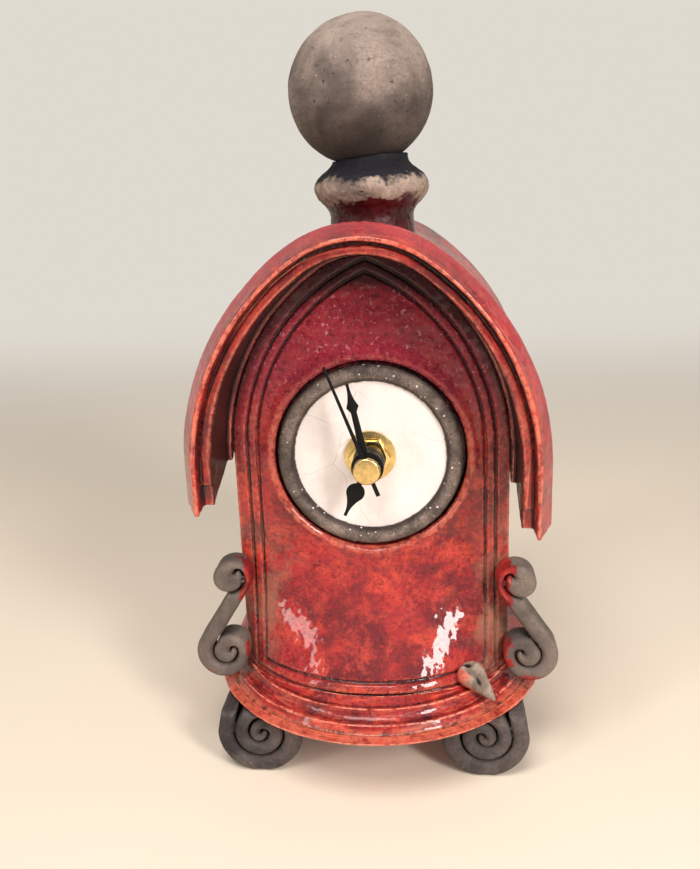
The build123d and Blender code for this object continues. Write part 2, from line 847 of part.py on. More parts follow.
# Movement fixing: rubber washer behind the panel, brass washer and nut on the dial
hole_radius = bush_radius + part_gap
rubber_washer = washer(hole_radius, rubber_radius, -panel_thick - rubber_thick, rubber_thick)
rubber_washer.label = "rubber_washer"
brass_washer = washer(hole_radius, washer_radius, 0, washer_thick)
brass_washer.label = "brass_washer"
with BuildPart() as hex_nut:
    with BuildSketch(dial.offset(washer_thick)):
        RegularPolygon(nut_flats / 2, 6, major_radius=False)
        Circle(hole_radius, mode=Mode.SUBTRACT)
    extrude(amount=nut_thick)
    with BuildSketch(dial.offset(washer_thick)):
        Circle(nut_flats / sqrt(3) + nut_bevel)
    extrude(amount=nut_thick, taper=degrees(atan2(nut_bevel, nut_thick)), mode=Mode.INTERSECT)
hex_nut.part.label = "hex_nut"

case_front = -panel_thick - rubber_thick
case_inner = case_front - movement_front_wall
case_back = case_front - movement_depth
tube_bore = hour_tube_radius + pivot_gap
with BuildPart() as threaded_bush:
    with BuildSketch(dial.offset(case_inner)):
        Circle(bush_radius)
    extrude(amount=bush_front - case_inner)
    with BuildSketch(dial.offset(case_inner)):
        Circle(bush_flange_radius)
    extrude(amount=-bush_flange_thick)
    with BuildSketch(dial.offset(case_inner - bush_flange_thick)):
        Circle(tube_bore)
    extrude(amount=bush_front - case_inner + bush_flange_thick, mode=Mode.SUBTRACT)
threaded_bush.part.label = "threaded_bush"


def polar(start, reach, bearing):
    """Point at a distance and bearing from another point on the dial's plane."""
    turn = radians(bearing)
    return (start[0] + reach * cos(turn), start[1] + reach * sin(turn))


def meshed_phase(phase, teeth, other_teeth, bearing):
    """Phase of a wheel whose space takes the tooth of the wheel that drives it."""
    return bearing + 180 + 180 / other_teeth + (bearing - phase) * teeth / other_teeth


# Wheel centres and phases on the dial's plane
middle = (0, 0)
third_reach = going_module * (second_leaves + third_teeth) / 2
centre_module = 2 * third_reach / (third_leaves + centre_teeth)
intermediate_reach = going_module * (intermediate_leaves + second_teeth) / 2
rotor_reach = going_module * (rotor_leaves + intermediate_teeth) / 2
motion_reach = going_module * (cannon_leaves + motion_teeth) / 2
hour_module = 2 * motion_reach / (motion_leaves + hour_teeth)
setting_reach = going_module * (motion_teeth + setting_teeth) / 2
third_at = polar(middle, third_reach, third_bearing)
intermediate_at = polar(middle, intermediate_reach, intermediate_bearing)
rotor_at = polar(intermediate_at, rotor_reach, rotor_bearing)
motion_at = polar(middle, motion_reach, motion_bearing)
setting_at = polar(motion_at, setting_reach, setting_bearing)
third_phase = meshed_phase(0, second_leaves, third_teeth, third_bearing)
centre_phase = meshed_phase(third_phase, third_leaves, centre_teeth, third_bearing + 180)
intermediate_phase = meshed_phase(0, second_teeth, intermediate_leaves, intermediate_bearing)
rotor_phase = meshed_phase(intermediate_phase, intermediate_teeth, rotor_leaves, rotor_bearing)
motion_phase = meshed_phase(0, cannon_leaves, motion_teeth, motion_bearing)
hour_phase = meshed_phase(motion_phase, motion_leaves, hour_teeth, motion_bearing + 180)
setting_phase = meshed_phase(motion_phase, motion_teeth, setting_teeth, setting_bearing)


def toothed_outline(centre, teeth, module, phase, leaves=False):
    """Closed outline of a wheel, or of a pinion with narrower leaves."""
    tip_share, root_share = (
        (leaf_tip_share, leaf_root_share) if leaves else (wheel_tip_share, wheel_root_share)
    )
    pitch_radius = module * teeth / 2
    root = pitch_radius - dedendum_share * module
    tip = pitch_radius + addendum_share * module
    corners = ((root, -root_share), (tip, -tip_share), (tip, tip_share), (root, root_share))
    points = []
    for tooth in range(teeth):
        for radius, share in corners:
            points.append(polar(centre, radius, phase + 360 * (tooth + share) / teeth))
    with BuildLine() as outline:
        Polyline(*points, close=True)
    return outline.edges()


def disc(centre, radius, back, front_height):
    """Round boss, tube or arbor added to the part in hand."""
    with BuildSketch(dial.offset(back)) as round_face:
        with Locations(centre):
            Circle(radius)
    extrude(round_face.sketch, amount=front_height - back)


arbor_front = case_inner - wheel_thick
gear_plate_back = gear_plate_front - gear_plate_thick
pivot_back = gear_plate_back + cover_gap
boss_bore = arbor_radius + pivot_gap

# Wheels of the going train
with BuildPart() as rotor:
    disc(rotor_at, arbor_radius, pivot_back, arbor_front)
    disc(rotor_at, magnet_radius, magnet_back, magnet_back + magnet_length)
    with BuildSketch(dial.offset(rotor_back)):
        make_face(toothed_outline(rotor_at, rotor_leaves, going_module, rotor_phase, leaves=True))
    extrude(amount=leaf_thick)
rotor.part.label = "rotor"

with BuildPart() as intermediate_wheel:
    disc(intermediate_at, arbor_radius, pivot_back, arbor_front)
    disc(intermediate_at, hub_radius, intermediate_back, second_back + leaf_thick + 2 * cover_gap)
    with BuildSketch(dial.offset(intermediate_back)):
        make_face(
            toothed_outline(intermediate_at, intermediate_teeth, going_module, intermediate_phase)
        )
    extrude(amount=wheel_thick)
    with BuildSketch(dial.offset(second_back - (leaf_thick - wheel_thick) / 2)):
        make_face(
            toothed_outline(
                intermediate_at, intermediate_leaves, going_module, intermediate_phase, leaves=True
            )
        )
    extrude(amount=leaf_thick)
intermediate_wheel.part.label = "intermediate_wheel"

with BuildPart() as second_wheel:
    disc(middle, second_arbor_radius, pivot_back, second_arbor_front)
    with BuildSketch(dial.offset(second_back)):
        make_face(toothed_outline(middle, second_teeth, going_module, 0))
    extrude(amount=wheel_thick)
    with BuildSketch(dial.offset(second_back)):
        make_face(toothed_outline(middle, second_leaves, going_module, 0, leaves=True))
    extrude(amount=third_back + leaf_thick - second_back)
second_wheel.part.label = "second_wheel"

with BuildPart() as third_wheel:
    disc(third_at, arbor_radius, pivot_back, arbor_front)
    with BuildSketch(dial.offset(third_back)):
        make_face(toothed_outline(third_at, third_teeth, going_module, third_phase))
    extrude(amount=wheel_thick)
    with BuildSketch(dial.offset(third_back)):
        make_face(toothed_outline(third_at, third_leaves, centre_module, third_phase, leaves=True))
    extrude(amount=centre_back + leaf_thick - third_back)
third_wheel.part.label = "third_wheel"

with BuildPart() as centre_wheel:
    with BuildSketch(dial.offset(centre_back)):
        make_face(toothed_outline(middle, centre_teeth, centre_module, centre_phase))
        Circle(minute_tube_radius + pivot_gap, mode=Mode.SUBTRACT)
    extrude(amount=wheel_thick)
centre_wheel.part.label = "centre_wheel"

# Wheels of the setting train; the cannon pinion slips in the centre wheel when the clock is set
cannon_back = motion_back - (leaf_thick - wheel_thick) / 2
with BuildPart() as cannon_pinion:
    disc(middle, minute_tube_radius, centre_back - 2 * cover_gap, minute_tube_front)
    with BuildSketch(dial.offset(cannon_back)):
        make_face(toothed_outline(middle, cannon_leaves, going_module, 0, leaves=True))
    extrude(amount=leaf_thick)
    with BuildSketch(dial.offset(centre_back - leaf_thick)):
        Circle(second_arbor_radius + pivot_gap)
    extrude(amount=minute_tube_front - centre_back + 2 * leaf_thick, mode=Mode.SUBTRACT)
cannon_pinion.part.label = "cannon_pinion"

motion_post_radius = arbor_radius
with BuildPart() as motion_wheel:
    with BuildSketch(dial.offset(motion_back)):
        make_face(toothed_outline(motion_at, motion_teeth, going_module, motion_phase))
    extrude(amount=wheel_thick)
    with BuildSketch(dial.offset(motion_back)):
        make_face(toothed_outline(motion_at, motion_leaves, hour_module, motion_phase, leaves=True))
    extrude(amount=hour_wheel_back + leaf_thick - motion_back)
    with BuildSketch(dial.offset(motion_back)):
        with Locations(motion_at):
            Circle(motion_post_radius + pivot_gap)
    extrude(amount=hour_wheel_back + leaf_thick - motion_back, mode=Mode.SUBTRACT)
motion_wheel.part.label = "motion_wheel"

with BuildPart() as hour_wheel:
    with BuildSketch(dial.offset(hour_wheel_back)):
        make_face(toothed_outline(middle, hour_teeth, hour_module, hour_phase))
    extrude(amount=wheel_thick)
    disc(middle, hour_tube_radius, hour_wheel_back, hour_tube_front)
    with BuildSketch(dial.offset(hour_wheel_back)):
        Circle(minute_tube_radius + pivot_gap)
    extrude(amount=hour_tube_front - hour_wheel_back, mode=Mode.SUBTRACT)
hour_wheel.part.label = "hour_wheel"

knob_front = case_back - knob_lift
with BuildPart() as setting_knob:
    disc(setting_at, setting_shaft_radius, knob_front, arbor_front)
    with BuildSketch(dial.offset(motion_back)):
        make_face(toothed_outline(setting_at, setting_teeth, going_module, setting_phase))
    extrude(amount=wheel_thick)
    with BuildSketch(dial.offset(knob_front)):
        with Locations(setting_at):
            Circle(knob_radius)
            with PolarLocations(knob_radius, knob_flutes):
                Circle(knob_flute_radius, mode=Mode.SUBTRACT)
    extrude(amount=-knob_thick)
setting_knob.part.label = "setting_knob"

# Movement case: a shallow box with a battery bay open to the back, bosses and posts
arbor_places = (rotor_at, intermediate_at, third_at)
inner_half = movement_half - movement_wall
with BuildPart() as movement_case:
    with BuildSketch(dial.offset(case_back)):
        Rectangle(2 * movement_half, 2 * movement_half)
    extrude(amount=movement_depth)
    with BuildSketch(dial.offset(case_back)):
        bay_height = bay_top + inner_half
        with Locations((0, bay_top - bay_height / 2)):
            Rectangle(2 * inner_half, bay_height)
        works_low = bay_top + bay_wall
        with Locations((0, (inner_half + works_low) / 2)):
            Rectangle(2 * inner_half, inner_half - works_low)
    extrude(amount=movement_depth - movement_front_wall, mode=Mode.SUBTRACT)
    for place in arbor_places:
        disc(place, boss_radius, arbor_front + cover_gap - wheel_thick, case_inner)
    for place in post_places:
        disc(place, post_radius, gear_plate_front, case_inner)
    for place_x in (board_low[0] + board_post_inset, board_high[0] - board_post_inset):
        disc(
            (place_x, board_low[1] + board_post_inset), board_post_radius,
            board_back + board_thick, case_inner,
        )
    disc(motion_at, motion_post_radius, motion_back, case_inner)
    with BuildSketch(dial.offset(arbor_front - 2 * wheel_thick)):
        with Locations(*arbor_places):
            Circle(boss_bore)
    extrude(amount=2 * wheel_thick + cover_gap, mode=Mode.SUBTRACT)
    disc(setting_at, setting_shaft_radius + boss_radius - arbor_radius, arbor_front, case_inner)
    with BuildSketch(dial.offset(arbor_front - cover_gap)):
        with Locations(setting_at):
            Circle(setting_shaft_radius + pivot_gap)
    extrude(amount=2 * cover_gap, mode=Mode.SUBTRACT)
    with BuildSketch(dial.offset(case_inner)):
        Circle(hole_radius)
    extrude(amount=movement_front_wall, mode=Mode.SUBTRACT)
movement_case.part.label = "movement_case"

with BuildPart() as gear_plate:
    plate_half = inner_half - cover_gap
    plate_low = bay_top + bay_wall + cover_gap
    with BuildSketch(dial.offset(gear_plate_back)):
        with Locations((0, (plate_half + plate_low) / 2)):
            Rectangle(2 * plate_half, plate_half - plate_low)
        with Locations(*arbor_places):
            Circle(boss_bore, mode=Mode.SUBTRACT)
        Circle(second_arbor_radius + pivot_gap, mode=Mode.SUBTRACT)
        with Locations(setting_at):
            Circle(setting_shaft_radius + pivot_gap, mode=Mode.SUBTRACT)
    extrude(amount=gear_plate_thick)
gear_plate.part.label = "gear_plate"

with BuildPart() as movement_cover:
    with BuildSketch(dial.offset(case_back)):
        with Locations((0, (plate_half + plate_low) / 2)):
            Rectangle(2 * plate_half, plate_half - plate_low)
        with Locations(setting_at):
            Circle(setting_shaft_radius + 2 * pivot_gap, mode=Mode.SUBTRACT)
    extrude(amount=cover_thick)
    spacer_reach = gear_plate_back - case_back - cover_thick
    for place in post_places:
        disc(place, post_radius, case_back + cover_thick, case_back + cover_thick + spacer_reach)
movement_cover.part.label = "movement_cover"

# Motor: stator plate with its core through the coil
with BuildPart() as stator:
    stator_width = stator_high[0] - stator_low[0]
    window_low = stator_low[1] + stator_yoke
    window_high = stator_high[1] - stator_core
    core_middle = (stator_low[0] + stator_width / 2, stator_high[1] - stator_core / 2)
    with BuildSketch(dial.offset(stator_back)):
        with Locations((core_middle[0], (stator_low[1] + stator_high[1]) / 2)):
            Rectangle(stator_width, stator_high[1] - stator_low[1])
        with Locations((core_middle[0], (window_low + window_high) / 2)):
            Rectangle(stator_width - 2 * stator_leg, window_high - window_low, mode=Mode.SUBTRACT)
        with Locations(rotor_at):
            Circle(magnet_radius + stator_hole_gap, mode=Mode.SUBTRACT)
    extrude(amount=stator_thick)
stator.part.label = "stator"

coil_length = stator_width - 2 * stator_leg - 2 * coil_end_gap
core_plane = Plane(
    origin=dial.offset(stator_back + stator_thick / 2).from_local_coords(
        Vector(core_middle[0] - coil_length / 2, core_middle[1], 0)
    ),
    x_dir=(0, 0, 1),
    z_dir=(1, 0, 0),
)
with BuildPart() as coil:
    with BuildSketch(core_plane):
        Circle(coil_cheek_radius)
    extrude(amount=coil_length)
    with BuildSketch(core_plane.offset(coil_cheek)):
        Circle(coil_cheek_radius)
        Circle(coil_radius, mode=Mode.SUBTRACT)
    extrude(amount=coil_length - 2 * coil_cheek, mode=Mode.SUBTRACT)
    with BuildSketch(core_plane):
        Rectangle(stator_core + 2 * part_gap, stator_thick + 2 * part_gap)
    extrude(amount=coil_length, mode=Mode.SUBTRACT)
coil.part.label = "coil"

with BuildPart() as circuit_board:
    board_middle = ((board_low[0] + board_high[0]) / 2, (board_low[1] + board_high[1]) / 2)
    with BuildSketch(dial.offset(board_back)):
        with Locations(board_middle):
            Rectangle(board_high[0] - board_low[0], board_high[1] - board_low[1])
    extrude(amount=board_thick)
circuit_board.part.label = "circuit_board"

with BuildPart() as quartz_crystal:
    crystal_start = dial.offset(board_back - crystal_radius - part_gap).from_local_coords(
        Vector(board_middle[0], board_high[1] - crystal_inset, 0)
    )
    with BuildSketch(Plane(origin=crystal_start, x_dir=(1, 0, 0), z_dir=(0, 0, -1))):
        Circle(crystal_radius)
    extrude(amount=crystal_length)
quartz_crystal.part.label = "quartz_crystal"

# Battery cell in its bay, between two contact springs
cell_axis_back = case_inner - cell_rest - cell_radius
cell_start = dial.offset(cell_axis_back).from_local_coords(
    Vector(-cell_length / 2, cell_centre_height, 0)
)
cell_plane = Plane(origin=cell_start, x_dir=(0, 0, 1), z_dir=(1, 0, 0))
with BuildPart() as battery_cell:
    with BuildSketch(cell_plane):
        Circle(cell_radius)
    extrude(amount=cell_length - cell_nub_length)
    with BuildSketch(cell_plane):
        Circle(cell_nub_radius)
    extrude(amount=cell_length)
battery_cell.part.label = "battery_cell"

contacts = {}
for name, side in (("contact_negative", -1), ("contact_positive", 1)):
    contact_plane = Plane(
        origin=cell_plane.from_local_coords(Vector(0, 0, cell_length / 2 + side * inner_half)),
        x_dir=(0, 0, 1),
        z_dir=(-side, 0, 0),
    )
    with BuildPart() as contact:
        with BuildSketch(contact_plane):
            Rectangle(contact_size, contact_size)
        extrude(amount=contact_thick)
        with BuildSketch(contact_plane):
            Circle(contact_dimple_radius)
        extrude(amount=inner_half - cell_length / 2 - contact_gap)
    contact.part.label = name
    contacts[name] = contact.part


def hand_plane(height, angle):
    """Plane of a hand, with its Y along the hand; angles run clockwise from twelve."""
    turn = radians(angle)
    return Plane(
        origin=dial.offset(height).origin, x_dir=(cos(turn), 0, -sin(turn)), z_dir=(0, -1, 0)
    )


# Hands, pressed on the hour tube, the minute tube and the seconds arbor
with BuildPart() as hour_hand:
    with BuildSketch(hand_plane(hour_blade_back, hour_angle)):
        with BuildLine():
            half_stem = hour_stem_width / 2
            shoulder = hour_spade_place - sqrt(hour_spade_radius**2 - half_stem**2)
            Polyline((-half_stem, shoulder), (-half_stem, 0), (half_stem, 0), (half_stem, shoulder))
            leave_x = hour_spade_radius * cos(radians(hour_spade_turn))
            leave_y = hour_spade_place + hour_spade_radius * sin(radians(hour_spade_turn))
            for side in (-1, 1):
                ThreePointArc(
                    (side * half_stem, shoulder),
                    (side * hour_spade_radius, hour_spade_place),
                    (side * leave_x, leave_y),
                )
                ThreePointArc(
                    (side * leave_x, leave_y),
                    (side * hour_waist_width / 2, hour_waist_place),
                    (side * hour_tip_width / 2, hour_length),
                )
            Line((-hour_tip_width / 2, hour_length), (hour_tip_width / 2, hour_length))
        make_face()
    extrude(amount=blade_thick)
    disc(middle, hub_black_radius, hour_hub_back, hour_hub_front)
    with BuildSketch(dial.offset(hour_hub_back)):
        Circle(hour_tube_radius + part_gap)
    extrude(amount=hour_tube_front - hour_hub_back + part_gap, mode=Mode.SUBTRACT)
    with BuildSketch(dial.offset(hour_hub_back)):
        Circle(minute_tube_radius + 2 * part_gap)
    extrude(amount=hour_hub_front - hour_hub_back, mode=Mode.SUBTRACT)
hour_hand.part.label = "hour_hand"

with BuildPart() as minute_hand:
    with BuildSketch(hand_plane(minute_blade_back, minute_angle)):
        with BuildLine():
            for side in (-1, 1):
                Polyline(
                    (0, 0),
                    (side * minute_root_width / 2, 0),
                    (side * minute_stem_width / 2, minute_stem_length),
                    (side * minute_wide / 2, minute_wide_place),
                )
                ThreePointArc(
                    (side * minute_wide / 2, minute_wide_place),
                    (side * minute_waist_width / 2, minute_waist_place),
                    (side * minute_tip_width / 2, minute_length),
                )
            Line((-minute_tip_width / 2, minute_length), (minute_tip_width / 2, minute_length))
        make_face()
    extrude(amount=blade_thick)
    disc(middle, hub_black_radius, minute_hub_back, minute_hub_front)
    with BuildSketch(dial.offset(minute_hub_back)):
        Circle(minute_tube_radius + part_gap)
    extrude(amount=minute_tube_front - minute_hub_back + part_gap, mode=Mode.SUBTRACT)
    with BuildSketch(dial.offset(minute_hub_back)):
        Circle(second_arbor_radius + 2 * part_gap)
    extrude(amount=minute_hub_front - minute_hub_back, mode=Mode.SUBTRACT)
minute_hand.part.label = "minute_hand"

with BuildPart() as second_hand:
    with BuildSketch(hand_plane(second_blade_back, second_angle)):
        with BuildLine():
            tip_half = second_tip_share * second_width / 2
            Polyline(
                (-second_width / 2, -second_tail),
                (second_width / 2, -second_tail),
                (second_width / 2, 0),
                (tip_half, second_length),
                (-tip_half, second_length),
                (-second_width / 2, 0),
                close=True,
            )
        make_face()
    extrude(amount=blade_thick)
    disc(middle, second_hub_radius, second_blade_back - blade_thick, second_arbor_front)
    with BuildSketch(dial.offset(second_blade_back - blade_thick)):
        Circle(second_arbor_radius + part_gap)
    extrude(amount=second_arbor_front - second_blade_back + blade_thick, mode=Mode.SUBTRACT)
second_hand.part.label = "second_hand"

with BuildPart() as second_hand_cap:
    disc(middle, cap_radius, cap_back, cap_front)
    chamfer(second_hand_cap.edges().filter_by(GeomType.CIRCLE).group_by(Axis.Y)[0], cap_bevel)
second_hand_cap.part.label = "second_hand_cap"

os.makedirs("parts", exist_ok=True)
pieces = [
    front_panel.part, hood_moulding.part, roof_vault.part, back_wall.part, base_plate.part,
    base_moulding.part, bird_skull.part, finial_neck.part, finial_ball.part, dial_disc.part,
    dial_ring.part, rubber_washer, brass_washer, hex_nut.part, threaded_bush.part,
    movement_case.part, movement_cover.part, gear_plate.part, stator.part, coil.part,
    circuit_board.part, quartz_crystal.part, battery_cell.part, rotor.part,
    intermediate_wheel.part, second_wheel.part, third_wheel.part, centre_wheel.part,
    cannon_pinion.part, motion_wheel.part, hour_wheel.part, setting_knob.part,
    hour_hand.part, minute_hand.part, second_hand.part, second_hand_cap.part,
]
for group in (side_walls, feet, scrolls, contacts):
    pieces.extend(group.values())
for piece in pieces:
    export_step(piece, f"parts/{piece.label}.step")
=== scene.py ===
import math

import bpy
import numpy as np
from mathutils import Matrix, Vector
from mathutils.kdtree import KDTree


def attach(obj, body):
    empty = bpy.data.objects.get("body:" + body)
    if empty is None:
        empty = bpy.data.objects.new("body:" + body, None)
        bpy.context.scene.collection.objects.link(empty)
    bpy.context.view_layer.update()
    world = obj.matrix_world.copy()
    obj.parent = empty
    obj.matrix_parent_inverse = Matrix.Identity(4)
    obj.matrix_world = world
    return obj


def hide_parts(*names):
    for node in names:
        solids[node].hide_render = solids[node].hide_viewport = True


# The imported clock, in metres: X to the right, Y to the back, Z up from the table.
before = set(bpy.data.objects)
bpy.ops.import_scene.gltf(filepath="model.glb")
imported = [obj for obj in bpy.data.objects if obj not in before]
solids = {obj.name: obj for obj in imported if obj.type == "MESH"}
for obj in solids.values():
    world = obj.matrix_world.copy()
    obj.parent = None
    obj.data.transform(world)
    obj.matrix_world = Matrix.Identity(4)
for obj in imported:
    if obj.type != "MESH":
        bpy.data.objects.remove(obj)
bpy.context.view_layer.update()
dial_height = 0.0959
bpy.ops.object.select_all(action="DESELECT")

# Camera: a hand-held view from a little right of the clock and above its dial, looking down.
down_tilt, side_turn, roll = (math.radians(angle) for angle in (15.6, 5.7, 2.2))
focus_pixels, photo_height, sensor = 884.0, 869.0, 36.0
camera_place = Vector((0.01942, -0.26280, 0.17360))
ahead = Vector(
    (
        -math.sin(side_turn) * math.cos(down_tilt),
        math.cos(side_turn) * math.cos(down_tilt),
        -math.sin(down_tilt),
    )
)
level = Vector((math.cos(side_turn), math.sin(side_turn), 0.0))
below = ahead.cross(level)
to_right = level * math.cos(roll) + below * math.sin(roll)
to_foot = below * math.cos(roll) - level * math.sin(roll)
turned = Matrix((to_right, -to_foot, -ahead)).transposed().to_4x4()
bpy.ops.object.camera_add()
view = bpy.context.object
view.name = "view"
view.matrix_world = Matrix.Translation(camera_place) @ turned
view.data.sensor_fit = "VERTICAL"
view.data.sensor_width = sensor
view.data.sensor_height = sensor
view.data.lens = focus_pixels / photo_height * sensor
view.data.clip_start = 0.01
bpy.context.scene.camera = view


# Table: a pale cream top that runs up into a plain backdrop behind the clock.
# It is only a stage, so it catches the clock's shadow and shows in the glaze.
def feed(tree, node, inputs):
    """Set a node's inputs to plain values, or link them where the value is a socket."""
    for name, value in inputs.items():
        if isinstance(value, bpy.types.NodeSocket):
            tree.links.new(value, node.inputs[name])
        else:
            node.inputs[name].default_value = value


def add_node(tree, kind, inputs=None, **settings):
    """Shader node with its settings and its inputs."""
    node = tree.nodes.new(kind)
    for name, value in settings.items():
        setattr(node, name, value)
    feed(tree, node, inputs or {})
    return node


def sum_up(tree, operation, first, second=0.0):
    """Two values joined by a sum; either may be a plain number."""
    return add_node(tree, "ShaderNodeMath", {0: first, 1: second}, operation=operation).outputs[0]


def times(tree, first, second):
    """One value multiplied by another."""
    return sum_up(tree, "MULTIPLY", first, second)


def spread(tree, value, low, high, to_low=0.0, to_high=1.0):
    """Value spread smoothly from one range to another."""
    ends = {"Value": value, "From Min": low, "From Max": high, "To Min": to_low, "To Max": to_high}
    return add_node(tree, "ShaderNodeMapRange", ends, interpolation_type="SMOOTHSTEP").outputs["Result"]


def find_place(tree):
    """The piece's own coordinates, whole and as three numbers."""
    place = add_node(tree, "ShaderNodeTexCoord").outputs["Object"]
    return place, add_node(tree, "ShaderNodeSeparateXYZ", {"Vector": place}).outputs


def shape_with(piece, name, kind, **settings):
    """Put a modifier on the active piece and apply it."""
    modifier = piece.modifiers.new(name, kind)
    for setting, value in settings.items():
        setattr(modifier, setting, value)
    bpy.ops.object.modifier_apply(modifier=name)


table_width, backdrop_at, backdrop_height, bend_radius = 6.0, 1.6, 4.0, 0.9
bpy.ops.mesh.primitive_plane_add(size=table_width, location=(0.0, 0.0, 0.0))
table = bpy.context.object
table.name = "table"
bpy.ops.object.mode_set(mode="EDIT")
bpy.ops.mesh.select_all(action="DESELECT")
bpy.ops.object.mode_set(mode="OBJECT")
for edge in table.data.edges:
    edge.select = all(table.data.vertices[v].co.y > 0.0 for v in edge.vertices)
bpy.ops.object.mode_set(mode="EDIT")
bpy.ops.mesh.select_mode(type="EDGE")
bpy.ops.mesh.extrude_region_move(TRANSFORM_OT_translate={"value": (0.0, 0.0, backdrop_height)})
bpy.ops.object.mode_set(mode="OBJECT")
for vertex in table.data.vertices:
    if vertex.co.y > 0.0:
        vertex.co.y = backdrop_at
shape_with(table, "bend", "BEVEL", width=bend_radius, segments=24, angle_limit=math.radians(40.0))
bpy.ops.object.shade_smooth()
table_paint = bpy.data.materials.new("table_paint")
table_paint.use_nodes = True
table_tree = table_paint.node_tree
table_grain = add_node(table_tree, "ShaderNodeTexNoise", {"Scale": 14.0, "Detail": 6.0})
table_tint = add_node(table_tree, "ShaderNodeValToRGB", {"Fac": table_grain.outputs["Fac"]})
table_tint.color_ramp.elements[0].color = (0.84, 0.72, 0.57, 1.0)
table_tint.color_ramp.elements[1].color = (0.88, 0.77, 0.63, 1.0)
table_shader = table_tree.nodes["Principled BSDF"]
feed(table_tree, table_shader, {"Roughness": 0.55, "Base Color": table_tint.outputs["Color"]})
rays = add_node(table_tree, "ShaderNodeLightPath").outputs
seen_rays = sum_up(table_tree, "MAXIMUM", rays["Is Camera Ray"], rays["Is Glossy Ray"])
clear_rays = sum_up(table_tree, "MAXIMUM", seen_rays, rays["Is Transmission Ray"])
far_back = spread(table_tree, find_place(table_tree)[1]["Y"], 0.15, 0.9)
backdrop_glow = add_node(table_tree, "ShaderNodeEmission", {"Color": (0.74, 0.70, 0.63, 1.0), "Strength": 1.0})
backdrop_mix = add_node(
    table_tree, "ShaderNodeMixShader",
    {0: times(table_tree, far_back, clear_rays), 1: table_shader.outputs[0], 2: backdrop_glow.outputs[0]},
)
feed(table_tree, table_tree.nodes["Material Output"], {"Surface": backdrop_mix.outputs[0]})
table.data.materials.append(table_paint)

# Light: a tall soft lamp to the right, a weaker one to the left and a square one above the front.
lamp_aim = Vector((0.0, 0.0, 0.10))
for lamp_name, place, width, height, power in (
    ("right_softbox", (0.50, -0.62, 0.46), 0.15, 0.40, 6.3),
    ("left_softbox", (-0.66, -0.60, 0.45), 0.13, 0.60, 2.3),
    ("overhead_softbox", (-0.10, -0.40, 0.88), 0.45, 0.45, 5.4),
):
    bpy.ops.object.light_add(type="AREA", location=place)
    lamp = bpy.context.object
    lamp.name = lamp_name
    lamp.data.shape = "RECTANGLE"
    lamp.data.size = width
    lamp.data.size_y = height
    lamp.data.energy = power
    lamp.data.color = (1.0, 0.965, 0.935)
    lamp.rotation_euler = (lamp_aim - Vector(place)).to_track_quat("-Z", "Y").to_euler()
room = bpy.data.worlds.new("room")
room.use_nodes = True
feed(room.node_tree, room.node_tree.nodes["Background"], {"Color": (0.88, 0.90, 0.96, 1.0), "Strength": 0.27})
bpy.context.scene.world = room
bpy.context.scene.view_settings.view_transform = "Standard"


# Base plate: a hand-cut slab of grogged clay, glazed red with the case that stands on it.
# Its wet edges were smoothed with a finger, and the kiln's smoke darkened the thick glaze.
wobble_size, fine_grain_size = 0.022, 0.0026


def merged_copy(node, suffix, merge_within, flat_within):
    """Copy of a solid with its points joined and its flat faces made whole."""
    bpy.ops.object.select_all(action="DESELECT")
    piece = bpy.data.objects.new(node + suffix, solids[node].data.copy())
    bpy.context.scene.collection.objects.link(piece)
    piece.data.materials.clear()
    piece.select_set(True)
    bpy.context.view_layer.objects.active = piece
    bpy.ops.object.mode_set(mode="EDIT")
    bpy.ops.mesh.select_all(action="SELECT")
    bpy.ops.mesh.remove_doubles(threshold=merge_within)
    bpy.ops.mesh.dissolve_limited(angle_limit=math.radians(flat_within))
    bpy.ops.object.mode_set(mode="OBJECT")
    return piece


def clay_copy(
    node, voxel, soften, wobble, grain, keep=1.0, round_over=0.0, strap_round=0.0, grain_size=fine_grain_size
):
    """Copy of a solid, softened as wet clay and uneven as handwork leaves it."""
    piece = merged_copy(node, "_clay", 0.000002, 0.3)
    if round_over > 0.0:
        shape_with(piece, "rounding", "BEVEL", width=round_over, segments=3, angle_limit=math.radians(50.0))
    strap_edges = find_strap_edges(piece.data) if strap_round > 0.0 else None
    shape_with(piece, "body", "REMESH", mode="VOXEL", voxel_size=voxel)
    if strap_round > 0.0:
        round_strap(piece.data, strap_edges, strap_round)
    shape_with(piece, "sponge", "SMOOTH", factor=0.5, iterations=soften)
    for label, size, height in (("wobble", wobble_size, wobble), ("grain", grain_size, grain)):
        unevenness = bpy.data.textures.new(node + "_" + label, "CLOUDS")
        unevenness.noise_scale = size
        unevenness.noise_depth = 3
        shape_with(piece, label, "DISPLACE", texture=unevenness, texture_coords="LOCAL", strength=height)
    if keep < 1.0:
        shape_with(piece, "thinner", "DECIMATE", ratio=keep)
    bpy.ops.object.shade_smooth()
    mark_edges(piece, 14)
    return piece


def read_points(mesh):
    """Every point of a mesh and the way it faces."""
    places = np.empty(len(mesh.vertices) * 3)
    mesh.vertices.foreach_get("co", places)
    outward = np.empty(len(mesh.vertices) * 3)
    mesh.vertices.foreach_get("normal", outward)
    return places.reshape(-1, 3), outward.reshape(-1, 3)


